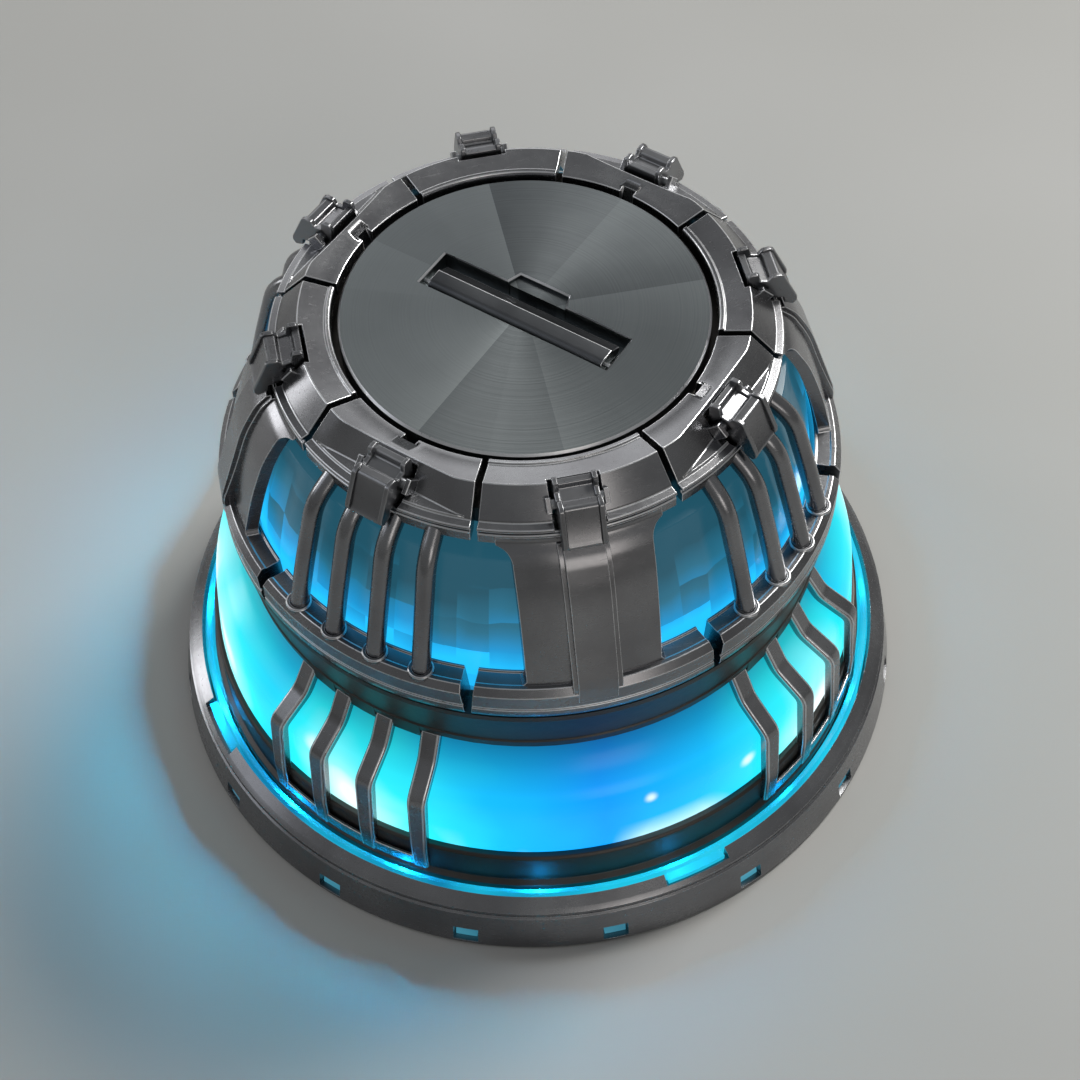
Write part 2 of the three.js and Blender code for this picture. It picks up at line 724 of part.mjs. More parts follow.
// Bracket that stands in a petal's cut-out: a foot on the clip plate, two bars outside.
function hingeClip() {
  const out = clipReach;
  const outline = [
    [notchInner + 0.35, seatTop + seatGap],
    [crownOuter + 0.3, seatTop + seatGap],
    [flangeRadius - 0.9, seatTop + seatGap + 0.5],
    [flangeRadius + out * 0.35, flangeBottom + 1.75],
    [flangeRadius + out * 0.7, flangeBottom + 1.6],
    [flangeRadius + out * 0.75, flangeBottom + 2.2],
    [flangeRadius + out * 0.2, crownTop - 1],
    [flangeRadius - 0.7, crownTop - 0.7],
    [crownOuter + 1.9, crownTop - 0.2],
    [crownOuter + 1.3, crownTop + clipRise],
    [notchInner + 0.5, crownTop + clipRise],
    [notchInner + 0.35, crownTop + clipRise - 0.3],
  ];
  const bore = crossRod(pinRadius + hingeGap, clipWidth + 2, hingeRadius, hingeHeight);
  return slab(outline, clipWidth).subtract(bore);
}

const pinLength = notchWidth + 2 * knuckleLength - 0.4;

every(petalCount, (k) => {
  const seat = new THREE.Group();
  seat.rotation.z = THREE.MathUtils.degToRad(radial((k * 360) / petalCount));
  top.add(seat);
  const petal = k % 2 === 0 ? strapPetal() : barPetal();
  add(`petal_${k + 1}`, petal, gunmetal, seat);
  add(`hinge_clip_${k + 1}`, hingeClip(), darkGunmetal, seat);
  add(`hinge_pin_${k + 1}`, crossRod(pinRadius, pinLength, hingeRadius, hingeHeight), steel, seat);
});

export default top;
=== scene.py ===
# Light-up spinning top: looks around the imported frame. Metres outside, millimetres in the settings.
import json
from math import asin, cos, pi, radians, sin

import bmesh
import bpy
import numpy as np
from mathutils import Matrix, Vector


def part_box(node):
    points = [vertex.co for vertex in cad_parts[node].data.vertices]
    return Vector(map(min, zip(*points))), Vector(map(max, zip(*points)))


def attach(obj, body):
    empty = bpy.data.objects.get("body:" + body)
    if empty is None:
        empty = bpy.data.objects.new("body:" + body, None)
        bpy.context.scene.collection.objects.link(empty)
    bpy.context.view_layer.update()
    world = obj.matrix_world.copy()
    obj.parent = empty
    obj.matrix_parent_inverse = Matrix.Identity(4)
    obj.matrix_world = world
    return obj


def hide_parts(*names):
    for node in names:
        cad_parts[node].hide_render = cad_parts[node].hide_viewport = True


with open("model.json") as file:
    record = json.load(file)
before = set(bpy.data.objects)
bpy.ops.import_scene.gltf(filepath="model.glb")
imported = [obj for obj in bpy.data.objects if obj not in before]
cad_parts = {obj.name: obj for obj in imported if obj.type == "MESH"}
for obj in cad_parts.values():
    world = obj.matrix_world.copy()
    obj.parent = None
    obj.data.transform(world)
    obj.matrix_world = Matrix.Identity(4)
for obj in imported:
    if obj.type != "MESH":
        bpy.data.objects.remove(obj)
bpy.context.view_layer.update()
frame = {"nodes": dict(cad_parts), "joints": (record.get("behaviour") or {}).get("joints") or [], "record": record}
scene = bpy.context.scene
mm = 0.001
bevelAngle = radians(32)


def nodeBox(node):  # a CAD node's corners, in millimetres
    low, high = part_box(node)
    return np.array(low) / mm, np.array(high) / mm


def jointNamed(name):  # a joint's row in the frame
    return next(j for j in frame["joints"] if j["name"] == name)


# Sizes that everything below is worked out from, in millimetres.
baseLow, baseHigh = nodeBox("base_ring")
lowerLow, lowerHigh = nodeBox("lower_ring")
lightLow, lightHigh = nodeBox("light_ring")
skirtLow, skirtHigh = nodeBox("skirt_ring")
discLow, discHigh = nodeBox("top_disc")
petalLow, petalHigh = nodeBox("petal_1")
shellLow, shellHigh = nodeBox("inner_shell")
baseRadius, baseTop = baseHigh[0], baseHigh[2]
lowerRadius, lowerBottom, lowerTop = lowerHigh[0], lowerLow[2], lowerHigh[2]
skirtRadius, skirtBottom, skirtTop = skirtHigh[0], skirtLow[2], skirtHigh[2]
rimRadius, rimBottom, crownTop = -petalLow[1], petalLow[2], petalHigh[2]
discRadius, discTop = discHigh[0], discHigh[2]
clipOut = -nodeBox("hinge_clip_1")[0][1]
petalHinge = np.array(jointNamed("petal_1_swing")["pos_m"]) / mm
hingeRadius, hingeHeight = -petalHinge[1], petalHinge[2]
gripHinge = np.array(jointNamed("grip_fold")["pos_m"]) / mm
petalCount = 8
petalSpan = 2 * pi / petalCount
halfTurn = petalSpan / 2
front = -pi / 2  # azimuth of petal_1
domeLook = {"discGap": 0.64, "crownWidth": 3.1, "crownHeight": 4.6, "flangeWidth": 3.1,
            "rimHeight": 4.0, "kneeOut": 2.3, "kneeDrop": 1.8, "bellyShare": 0.65, "foot": 1.0}
crownInner = discRadius + domeLook["discGap"]
crownOuter = crownInner + domeLook["crownWidth"]
flangeBottom = crownTop - domeLook["crownHeight"]
flangeRadius = crownOuter + domeLook["flangeWidth"]
rimTop = rimBottom + domeLook["rimHeight"]
kneeRadius = flangeRadius + domeLook["kneeOut"]
kneeHeight = flangeBottom - domeLook["kneeDrop"]
bellyRadius = kneeRadius + (rimRadius - domeLook["foot"] - kneeRadius) * domeLook["bellyShare"]
bellyHeight = (rimTop + kneeHeight) / 2 - domeLook["foot"]
tiny = 0.01  # millimetres between the two sides of a sharp step
hair = 0.0006  # radians between the two sides of a sharp step


# Grid of rows x cols points: cell (i, j) joins points i and i+1 with j and j+1.
def gridFaces(rows, cols, closeRows, closeCols):
    i, j = np.meshgrid(np.arange(rows if closeRows else rows - 1),
                       np.arange(cols if closeCols else cols - 1), indexing="ij")
    i2, j2 = (i + 1) % rows, (j + 1) % cols
    cells = np.stack([i * cols + j, i * cols + j2, i2 * cols + j2, i2 * cols + j], -1)
    return cells.reshape(-1, 4).tolist()


# The same grid closed round its columns, with a face over its first and its last row.
def cappedFaces(rows, cols):
    ends = [list(range(cols)), list(range((rows - 1) * cols, rows * cols))]
    return gridFaces(rows, cols, False, True) + ends


# Point at radius r, azimuth a and height z: (r cos a, r sin a, z), with a from +X.
def polar(r, a, z):
    r, a, z = np.broadcast_arrays(r, a, z)
    return np.stack([r * np.cos(a), r * np.sin(a), z], -1)


# Closed profile (r, z) carried right round the axis. bend(r, z, a) may move it by azimuth.
def ringShell(profile, angles, bend=None):
    line = np.array(profile, float)
    r, a = np.meshgrid(line[:, 0], angles)
    z = np.broadcast_to(line[:, 1], r.shape)
    if bend is not None:
        r, z = bend(r, z, a)
    return polar(r, a, z).reshape(-1, 3), gridFaces(*r.shape, True, True)


# Closed profile (r, z) carried along an arc: side(r, z, t) gives the azimuth at steps t, -1 to 1.
def arcShell(profile, steps, side, bend=None):
    line = np.array(profile, float)
    t, r = np.meshgrid(steps, line[:, 0], indexing="ij")
    z = np.broadcast_to(line[:, 1], r.shape)
    a = side(r, z, t)
    if bend is not None:
        r, z = bend(r, z, a)
    return polar(r, a, z).reshape(-1, 3), cappedFaces(*r.shape)


# Closed section (across, up) carried along a path (x, z) on the plane y = 0, square to the path.
def pathShell(section, path):
    line = np.array(path, float)
    ahead = np.gradient(line, axis=0)
    ahead /= np.linalg.norm(ahead, axis=1)[:, None]
    normal = np.stack([ahead[:, 1], -ahead[:, 0]], -1)
    cut = np.array(section, float)
    x = line[:, 0][:, None] + normal[:, 0][:, None] * cut[:, 1]
    z = line[:, 1][:, None] + normal[:, 1][:, None] * cut[:, 1]
    y = np.broadcast_to(cut[:, 0], x.shape)
    return np.stack([x, y, z], -1).reshape(-1, 3), cappedFaces(*x.shape)


# Outline (x, z) given a width along y.
def slabShell(outline, low, high):
    line = np.array(outline, float)
    x = np.stack([line[:, 0]] * 2)
    z = np.stack([line[:, 1]] * 2)
    y = np.broadcast_to(np.array([[low], [high]]), x.shape)
    return np.stack([x, y, z], -1).reshape(-1, 3), cappedFaces(2, len(line))


# Two grids of the same size, front and back, joined round their four edges.
def plateShell(front, back):
    rows, cols = front.shape[:2]
    half = rows * cols
    inner = gridFaces(rows, cols, False, False)
    faces = inner + [[half + k for k in face[::-1]] for face in inner]
    grid = np.arange(half).reshape(rows, cols)
    edge = np.concatenate([grid[0, :-1], grid[:-1, -1], grid[-1, :0:-1], grid[:0:-1, 0]])
    following = np.roll(edge, -1)
    faces += np.stack([edge, edge + half, following + half, following], -1).tolist()
    return np.concatenate([front.reshape(-1, 3), back.reshape(-1, 3)]), faces


# The same shell turned about z: (x cos a - y sin a, x sin a + y cos a, z).
def turnedShell(shell, angle):
    points, faces = shell
    c, s = cos(angle), sin(angle)
    spin = np.array([[c, s, 0], [-s, c, 0], [0, 0, 1]])
    return points @ spin, faces


# Line of points bent round its corners: each corner becomes an arc of a few points.
def rounded(path, radius, steps=5):
    line = np.array(path, float)
    out = [line[0]]
    for before, corner, after in zip(line[:-2], line[1:-1], line[2:]):
        a, b = before - corner, after - corner
        reach = min(radius, 0.45 * np.linalg.norm(a), 0.45 * np.linalg.norm(b))
        start = corner + a / np.linalg.norm(a) * reach
        end = corner + b / np.linalg.norm(b) * reach
        t = np.linspace(0, 1, steps)[:, None]
        out.extend((1 - t) ** 2 * start + 2 * t * (1 - t) * corner + t ** 2 * end)
    out.append(line[-1])
    return np.array(out)


# The same line with evenly spaced points.
def resampled(path, count):
    length = np.concatenate([[0], np.cumsum(np.linalg.norm(np.diff(path, axis=0), axis=1))])
    at = np.linspace(0, length[-1], count)
    return np.stack([np.interp(at, length, path[:, 0]), np.interp(at, length, path[:, 1])], -1)


# Circle as a section: (radius cos a, radius sin a) at even steps of a.
def circleSection(radius, sides):
    a = np.arange(sides) / sides * 2 * pi
    return np.stack([radius * np.cos(a), radius * np.sin(a)], -1)


# Puts a mesh, light or camera into the scene.
def placed(name, data):
    made = bpy.data.objects.new(name, data)
    scene.collection.objects.link(made)
    return made


# A mesh of the points and faces, with every face turned outwards.
def outwardMesh(name, points, faces):
    mesh = bpy.data.meshes.new(name)
    mesh.from_pydata(points.tolist(), [], faces)
    work = bmesh.new()
    work.from_mesh(mesh)
    bmesh.ops.recalc_face_normals(work, faces=work.faces)
    work.to_mesh(mesh)
    work.free()
    return mesh


# Joins shells into one piece, turns its faces outwards and bevels its sharp edges.
def makePiece(name, shells, material, body, replaced=(), bevel=0.12, turn=0.0,
              segments=2, flat=False, clamped=True):
    points, faces, start = [], [], 0
    for shellPoints, shellFaces in shells:
        points.append(shellPoints)
        faces += [[start + k for k in face] for face in shellFaces]
        start += len(shellPoints)
    mesh = outwardMesh(name, np.concatenate(points) * mm, faces)
    if turn:
        mesh.transform(Matrix.Rotation(turn, 4, "Z"))
    if flat:
        mesh.shade_flat()
    else:
        mesh.shade_smooth()
        mesh.set_sharp_from_angle(angle=bevelAngle)
    piece = placed(name, mesh)
    mesh.materials.append(material)
    # Bevel faces of these metals get the painted edge highlight metal.
    if bevel and material in edgeHighlightFor:
        mesh.materials.append(edgeHighlightFor[material])
    if bevel:
        edge = piece.modifiers.new("edges", "BEVEL")
        edge.width = bevel * mm
        edge.segments = segments
        edge.limit_method = "ANGLE"
        edge.angle_limit = bevelAngle
        edge.harden_normals = not flat
        edge.material = len(mesh.materials) - 1
        edge.use_clamp_overlap = clamped
    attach(piece, body)
    if replaced:
        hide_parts(*replaced)
    return piece


# sRGB hex to linear, with alpha 1.
def paint(code):
    parts = [int(code[k:k + 2], 16) / 255 for k in (1, 3, 5)]
    return [p / 12.92 if p <= 0.04045 else ((p + 0.055) / 1.055) ** 2.4 for p in parts] + [1.0]


def grey(value):  # a linear grey level as a colour
    return [value, value, value, 1.0]


def perMm(size):  # texture scale on metre coordinates for a feature of that size
    return 1 / (size * mm)


# Adds a node; settings are its properties or input values, links its input sources.
def addNode(tree, kind, settings=None, links=None):
    node = tree.nodes.new("ShaderNode" + kind)
    for key, value in (settings or {}).items():
        if key == "stops":
            elements = node.color_ramp.elements
            while len(elements) < len(value):
                elements.new(0.5)
            for element, (place, colour) in zip(elements, value):
                element.position = place
                element.color = colour
        elif isinstance(key, str) and hasattr(node, key):
            setattr(node, key, value)
        else:
            node.inputs[key].default_value = value
    for key, source in (links or {}).items():
        tree.links.new(source, node.inputs[key])
    return node


# Cloudy noise with features of a size in millimetres.
def noiseNode(tree, place, size, detail):
    return addNode(tree, "TexNoise", {"Scale": perMm(size), "Detail": detail}, {"Vector": place})


# Colour by value: stops are (value, sRGB hex or grey level).
def rampNode(tree, source, stops):
    colours = [(at, paint(tone) if isinstance(tone, str) else grey(tone)) for at, tone in stops]
    return addNode(tree, "ValToRGB", {"stops": colours}, {"Fac": source})


# One step of arithmetic on numbers or on other nodes' outputs.
def mathNode(tree, operation, *terms):
    values = {k: term for k, term in enumerate(terms) if isinstance(term, (int, float))}
    sources = {k: term for k, term in enumerate(terms) if k not in values}
    return addNode(tree, "Math", {"operation": operation, **values}, sources).outputs[0]


# Takes a value from one range to another.
def rangeNode(tree, source, start, end, low=0.0, high=1.0):
    return addNode(tree, "MapRange", {"From Min": start, "From Max": end, "To Min": low,
                                      "To Max": high}, {"Value": source}).outputs[0]


# Links the shader's inputs to their sources.
def feed(tree, shader, sources):
    for key, source in sources.items():
        tree.links.new(source, shader.inputs[key])


# A new material: one shader with its settings on the surface, and object coordinates.
def startMaterial(name, settings):
    material = bpy.data.materials.new(name)
    material.use_nodes = True
    tree = material.node_tree
    tree.nodes.clear()
    shader = addNode(tree, "BsdfPrincipled", settings)
    addNode(tree, "OutputMaterial", links={"Surface": shader.outputs[0]})
    place = addNode(tree, "TexCoord").outputs["Object"]
    return material, tree, shader, place


# Zinc alloy, plated and lightly brushed: dark satin metal with cloudy sheen and fine grain.
def platedMetal(name, dark, light, smooth, rough, grainDepth=0.0022):
    material, tree, shader, place = startMaterial(name, {"Metallic": 1.0})
    cloud = noiseNode(tree, place, 9, 4.0).outputs["Fac"]
    tone = rampNode(tree, cloud, [(0.35, dark), (0.68, light)])
    grain = noiseNode(tree, place, 0.5, 2.0).outputs["Fac"]
    stretched = addNode(tree, "Mapping", {"Scale": (0.12, 1.0, 2.2), "Rotation": (0.5, 0.2, 0.9)},
                        {"Vector": place})
    hair = noiseNode(tree, stretched.outputs[0], 0.3, 2.0).outputs["Fac"]
    scuff = rampNode(tree, hair, [(0.62, 0.0), (0.7, 1.0)]).outputs["Color"]
    fine = mathNode(tree, "MULTIPLY_ADD", grain, 0.25, 0.35)
    blend = mathNode(tree, "MULTIPLY_ADD", cloud, 0.45, fine)
    worn = mathNode(tree, "MULTIPLY_ADD", scuff, 0.15, blend)
    bump = addNode(tree, "Bump", {"Strength": 0.3, "Distance": grainDepth * mm},
                   {"Height": worn})
    feed(tree, shader, {"Base Color": tone.outputs["Color"], "Normal": bump.outputs[0],
                        "Roughness": rangeNode(tree, worn, 0.3, 1.0, smooth, rough)})
    return material


# Spun aluminium, gunmetal plated: fine rings about the axis, so highlights fan out from the centre; each facet of
# the top also gets its own painted tone of reflection, lighter or darker.
def spunMetal(name, dark, light, smooth, rough, facets):
    settings = {"Metallic": 1.0, "Anisotropic": 0.55}
    material, tree, shader, place = startMaterial(name, settings)
    axes = addNode(tree, "SeparateXYZ", links={0: place})
    flat = addNode(tree, "CombineXYZ", links={"X": axes.outputs["X"], "Y": axes.outputs["Y"]})
    radius = addNode(tree, "VectorMath", {"operation": "LENGTH"}, {0: flat.outputs[0]})
    ringAt = addNode(tree, "CombineXYZ", links={"X": radius.outputs["Value"]})
    rings = addNode(tree, "TexNoise", {"Scale": perMm(0.16), "Detail": 4.0, "Roughness": 0.7},
                    {"Vector": ringAt.outputs[0]})
    fine = rings.outputs["Fac"]
    cloud = noiseNode(tree, place, 7, 3.0).outputs["Fac"]
    azimuth = mathNode(tree, "ARCTAN2", axes.outputs["Y"], axes.outputs["X"])
    share = mathNode(tree, "MULTIPLY_ADD", azimuth, 1 / (2 * pi), 0.5)
    # Painted reflection: a fixed lighter or darker tone for each facet by azimuth, standing in for how its
    # brushing catches the light.
    paintedFacetShade = rampNode(tree, share, [(k / len(facets), value) for k, value in enumerate(facets)])
    paintedFacetShade.color_ramp.interpolation = "CONSTANT"
    turned = mathNode(tree, "MULTIPLY", fine, 0.3)
    mottled = mathNode(tree, "MULTIPLY_ADD", cloud, 0.16, turned)
    summed = mathNode(tree, "MULTIPLY_ADD", paintedFacetShade.outputs["Color"], 0.5, mottled)
    tone = rampNode(tree, summed, [(0.23, dark), (0.73, light)])
    bump = addNode(tree, "Bump", {"Strength": 0.35, "Distance": 0.006 * mm}, {"Height": fine})
    around = addNode(tree, "Tangent", {"direction_type": "RADIAL", "axis": "Z"})
    feed(tree, shader, {"Base Color": tone.outputs["Color"], "Normal": bump.outputs[0],
                        "Tangent": around.outputs[0],
                        "Roughness": rangeNode(tree, fine, 0.3, 0.7, smooth, rough)})
    return material


# Opal polycarbonate lit from inside: blue between the lamps, cyan near them, white where they sit.
def litBell(name, look):
    settings = {"Roughness": 0.24, "IOR": 1.45, "Specular IOR Level": 0.3,
                "Base Color": paint("#06283C"), "Emission Strength": look["strength"]}
    material, tree, shader, place = startMaterial(name, settings)

    def awayFrom(source, spot):  # distance to a point in millimetres
        node = addNode(tree, "VectorMath", {"operation": "DISTANCE", 1: [v * mm for v in spot]},
                       {0: source})
        return node.outputs["Value"]
    drift = noiseNode(tree, place, 11, 2.0)
    wander = addNode(tree, "VectorMath", {
        "operation": "MULTIPLY_ADD", 1: (look["wander"] * mm,) * 3,
        2: (-look["wander"] * mm / 2,) * 3}, {0: drift.outputs["Color"]})
    moved = addNode(tree, "VectorMath", {"operation": "ADD"}, {0: place, 1: wander.outputs[0]})
    folded = addNode(tree, "VectorMath", {"operation": "ABSOLUTE"}, {0: moved.outputs[0]})
    nearest = mathNode(tree, "SMOOTH_MIN", awayFrom(folded.outputs[0], look["lampAt"]),
                       awayFrom(folded.outputs[0], look["sideAt"]), look["blend"] * mm)
    reach = rangeNode(tree, nearest, look["hot"] * mm, look["cool"] * mm)
    tone = rampNode(tree, reach, [(0.0, "#F0FFFF"), (0.09, "#96FCFF"), (0.26, "#2CEEFA"),
                                  (0.58, "#10BEFF"), (1.0, "#089CFF")])
    up = addNode(tree, "SeparateXYZ", links={0: place}).outputs["Z"]
    rise = rangeNode(tree, up, look["low"] * mm, look["high"] * mm)
    height = rampNode(tree, rise, [(0.0, 1.0), (0.6, 0.85), (0.75, 0.5), (1.0, 0.12)])
    streaks = noiseNode(tree, place, look["patch"], 1.0).outputs["Fac"]
    foot = rangeNode(tree, up, (look["low"] + look["flare"]) * mm, look["low"] * mm)
    flare = mathNode(tree, "MULTIPLY", foot, rangeNode(tree, streaks, 0.52, 0.68, 0.0, 0.85))
    whiter = addNode(tree, "Mix", {"data_type": "RGBA", 7: paint("#CFFEFF")},
                     {0: flare, 6: tone.outputs["Color"]})
    colour = whiter.outputs[2]
    for azimuth, radius, level, size in look["sparks"]:
        a = radians(azimuth - 90)
        far = awayFrom(place, (radius * cos(a), radius * sin(a), level))
        amount = addNode(tree, "MapRange", {"interpolation_type": "SMOOTHERSTEP",
                                            "From Min": size * mm, "From Max": 0.0,
                                            "To Max": 0.9}, {"Value": far})
        lit = addNode(tree, "Mix", {"data_type": "RGBA", 7: paint("#E8FFFF")},
                      {0: amount.outputs[0], 6: colour})
        colour = lit.outputs[2]
    glow = addNode(tree, "VectorMath", {"operation": "SCALE"},
                   {0: colour, "Scale": height.outputs[0]})
    feed(tree, shader, {"Emission Color": glow.outputs[0]})
    return material


# Clear teal polycarbonate over the lamps: bright blue low down, dim teal near the crown.
def litShell(name, look):
    settings = {"Roughness": 0.3, "IOR": 1.45, "Base Color": paint("#06202C"),
                "Emission Strength": look["strength"]}
    material, tree, shader, place = startMaterial(name, settings)
    axes = addNode(tree, "SeparateXYZ", links={0: place})
    azimuth = mathNode(tree, "ARCTAN2", axes.outputs["Y"], axes.outputs["X"])
    column = mathNode(tree, "MULTIPLY", azimuth, look["columns"] / (2 * pi))
    row = mathNode(tree, "DIVIDE", axes.outputs["Z"], look["row"] * mm)
    block = addNode(tree, "CombineXYZ", links={"X": mathNode(tree, "FLOOR", column),
                                               "Y": mathNode(tree, "FLOOR", row)})
    cells = addNode(tree, "TexWhiteNoise", {"noise_dimensions": "2D"}, {"Vector": block.outputs[0]})
    tint = addNode(tree, "SeparateXYZ", links={0: cells.outputs["Color"]})
    cloud = noiseNode(tree, place, 8, 2.0).outputs["Fac"]
    height = rangeNode(tree, axes.outputs["Z"], look["low"] * mm, look["high"] * mm)
    drifted = mathNode(tree, "MULTIPLY_ADD", cloud, 0.3, height)
    blocked = mathNode(tree, "MULTIPLY_ADD", tint.outputs["X"], 0.3, drifted)
    tone = rampNode(tree, blocked, [(0.32, "#22B4F0"), (0.55, "#1C86BC"), (0.8, "#226078"),
                                    (1.0, "#1C4858")])
    feed(tree, shader, {"Emission Color": tone.outputs["Color"]})
    return material


# Clear acrylic light guide, lit along its length.
def litGuide(name, bright, dim, strength, patch):
    settings = {"Roughness": 0.18, "IOR": 1.49, "Base Color": paint("#0A3A4C"),
                "Emission Strength": strength}
    material, tree, shader, place = startMaterial(name, settings)
    cloud = noiseNode(tree, place, patch, 2.0).outputs["Fac"]
    tone = rampNode(tree, cloud, [(0.35, dim), (0.62, bright)])
    feed(tree, shader, {"Emission Color": tone.outputs["Color"]})
    return material


# Moulded plastic or rubber: one colour with a fine texture and slight unevenness.
def moulded(name, dark, light, roughness, grainMm, ior=1.5, depth=0.02):
    material, tree, shader, place = startMaterial(name, {"IOR": ior})
    grain = noiseNode(tree, place, grainMm, 3.0).outputs["Fac"]
    cloud = noiseNode(tree, place, grainMm * 25, 2.0).outputs["Fac"]
    tone = rampNode(tree, cloud, [(0.3, dark), (0.7, light)])
    bump = addNode(tree, "Bump", {"Strength": 0.4, "Distance": depth * mm}, {"Height": grain})
    feed(tree, shader, {"Base Color": tone.outputs["Color"], "Normal": bump.outputs[0],
                        "Roughness": rangeNode(tree, cloud, 0.0, 1.0, roughness - 0.08,
                                               roughness + 0.08)})
    return material


finishes = {
    "bell": {"strength": 1.2, "lampAt": (24.4, 24.4, 13.0), "sideAt": (36.0, 4.0, 15.0),
             "blend": 4.0, "wander": 9.0, "hot": 2.0, "cool": 27.0, "low": 11.0, "high": 25.0,
             "patch": 13, "flare": 3.2,
             "sparks": [(8, 34.3, 17.5, 1.0), (-52, 34.3, 18.0, 2.0), (27, 34.5, 15.5, 1.4),
                        (-100, 34.3, 17.0, 2.5), (96, 34.5, 15.0, 2.2), (172, 34.3, 17.5, 1.8)]},
    "shell": {"strength": 1.3, "low": 34.0, "high": 48.0, "columns": 56, "row": 3.7},
}
gunmetal = platedMetal("gunmetal_plated_zinc", "#7B7B7E", "#8F9093", 0.15, 0.34)
darkGunmetal = platedMetal("dark_gunmetal_plated_zinc", "#454240", "#575452", 0.38, 0.55)
# The last list gives each facet of the disc its painted reflection tone.
spunDisc = spunMetal("spun_gunmetal_aluminium", "#505457", "#848A8C", 0.3, 0.42,
                     [0.85, 0.34, 0.55, 0.55, 0.22, 0.12, 0.66, 0.85])
# Painted highlight: a near-white metal for bevelled edges, standing in for the light they catch.
paintedEdgeHighlight = platedMetal("zinc_edge_painted_highlight", "#BEBFC2", "#E6E7EA", 0.2, 0.36)
clipMetal = platedMetal("burnished_gunmetal_zinc", "#737376", "#87888B", 0.18, 0.36)
# Painted highlight for the clips' bevelled edges: a lighter copy of the clip metal.
clipEdgeHighlight = platedMetal("clip_zinc_edge_painted_highlight", "#7C7D80", "#9C9DA0", 0.2, 0.36)
satinGunmetal = platedMetal("satin_gunmetal_zinc", "#45474A", "#585A5D", 0.3, 0.45)
# Painted highlight for each metal: the lighter metal its bevelled edges are given, standing in for the light they
# catch.
edgeHighlightFor = {gunmetal: paintedEdgeHighlight, clipMetal: clipEdgeHighlight, satinGunmetal: paintedEdgeHighlight}
turnedSteel = platedMetal("turned_steel", "#9A9CA0", "#BDBFC2", 0.2, 0.4)
brassStrip = platedMetal("rolled_brass_strip", "#B08B3E", "#CDA95A", 0.22, 0.4)
cyanBell = litBell("opal_polycarbonate_lit", finishes["bell"])
tealShell = litShell("teal_polycarbonate_lit", finishes["shell"])
guideGlow = litGuide("acrylic_guide_lit", "#24D2F4", "#1286B4", 0.85, 12)
windowGlow = litGuide("acrylic_window_lit", "#58B4CE", "#2C7690", 0.6, 14)
lampGlow = litGuide("lamp_lens_lit", "#F2FFFF", "#9DF6FF", 2.0, 2)
clearMoulding = moulded("clear_acrylic", "#BFE9F2", "#DFF6FA", 0.2, 1.2, 1.49)
blackAbs = moulded("black_abs_moulded", "#151618", "#1E2022", 0.5, 0.25)
footRubber = moulded("moulded_rubber", "#141414", "#1D1C1B", 0.75, 0.3)
solderMask = moulded("solder_mask_on_glass_fibre", "#0E4A30", "#166040", 0.4, 0.5)
print("materials made")


# Distance in radians from angle a to the nearest of count marks spaced evenly from first.
def fromMark(a, count, first):
    pitch = 2 * pi / count
    return np.abs((a - first + pitch / 2) % pitch - pitch / 2)


# Angles right round, with two close together at each side of every mark.
def stepAngles(plain, marks):
    extra = [first + 2 * pi * k / count + side * half + near
             for count, first, half in marks for k in range(count)
             for side in (-1, 1) for near in (-hair, hair)]
    return np.unique(np.round(np.array([2 * pi * k / plain for k in range(plain)] +
                                       [e % (2 * pi) for e in extra]), 6))


baseLook = {"windows": 16, "windowWidth": 2.6, "windowDepth": 1.1, "sill": 0.6, "head": 2.5,
            "recesses": 4, "recessAt": radians(14), "recessLength": 7.0, "recessDepth": 1.5,
            "lip": 1.0, "steps": 144, "bevel": 0.16}
edgeRadius = baseRadius - 1.04
lipRadius = edgeRadius - 1.52
wallDrop = baseTop - 1.04
recessHalf = baseLook["recessLength"] / 2 / lipRadius
recessFirst = front + baseLook["recessAt"]
windowHalf = baseLook["windowWidth"] / 2 / baseRadius


# Radius of the stand's outer wall at height z: it narrows evenly upwards.
def wallRadius(z):
    return baseRadius + (edgeRadius - baseRadius) * (z - baseLow[2]) / (wallDrop - baseLow[2])


# The stand's ring: outer wall, sloping top, inner wall; pockets and recesses are pressed in.
def bendBase(r, z, a):
    look = baseLook
    inWindow = fromMark(a, look["windows"], front) < windowHalf
    level = (z > look["sill"]) & (z < look["head"]) & (r > edgeRadius - 0.2)
    r = np.where(inWindow & level, r - look["windowDepth"], r)
    inRecess = fromMark(a, look["recesses"], recessFirst) < recessHalf
    z = np.where(inRecess & (z > wallDrop + 0.05) & (r < lipRadius + look["lip"]),
                 baseTop - look["recessDepth"], z)
    return r, z


# Height of the sloping top at radius r.
def slopeAt(r):
    return wallDrop + (edgeRadius - r) / (edgeRadius - lipRadius) * (baseTop - wallDrop)


breakAt = lipRadius + baseLook["lip"]
baseProfile = [(wallRadius(z), z) for z in (
    baseLow[2], baseLook["sill"] - tiny, baseLook["sill"] + tiny, baseLook["head"] - tiny,
    baseLook["head"] + tiny)]
baseProfile += [(edgeRadius + 0.16, wallDrop - 0.75), (edgeRadius - 0.05, wallDrop - 0.6),
                (edgeRadius - 0.08, wallDrop), (breakAt + tiny, slopeAt(breakAt + tiny)),
                (breakAt - tiny, slopeAt(breakAt - tiny)), (lipRadius, baseTop),
                (lipRadius, baseLow[2])]
baseAngles = stepAngles(baseLook["steps"], [
    (baseLook["windows"], front, windowHalf), (baseLook["recesses"], recessFirst, recessHalf)])
makePiece("base_shell", [ringShell(baseProfile, baseAngles, bendBase)], gunmetal, "stand",
          ["base_ring"], baseLook["bevel"])

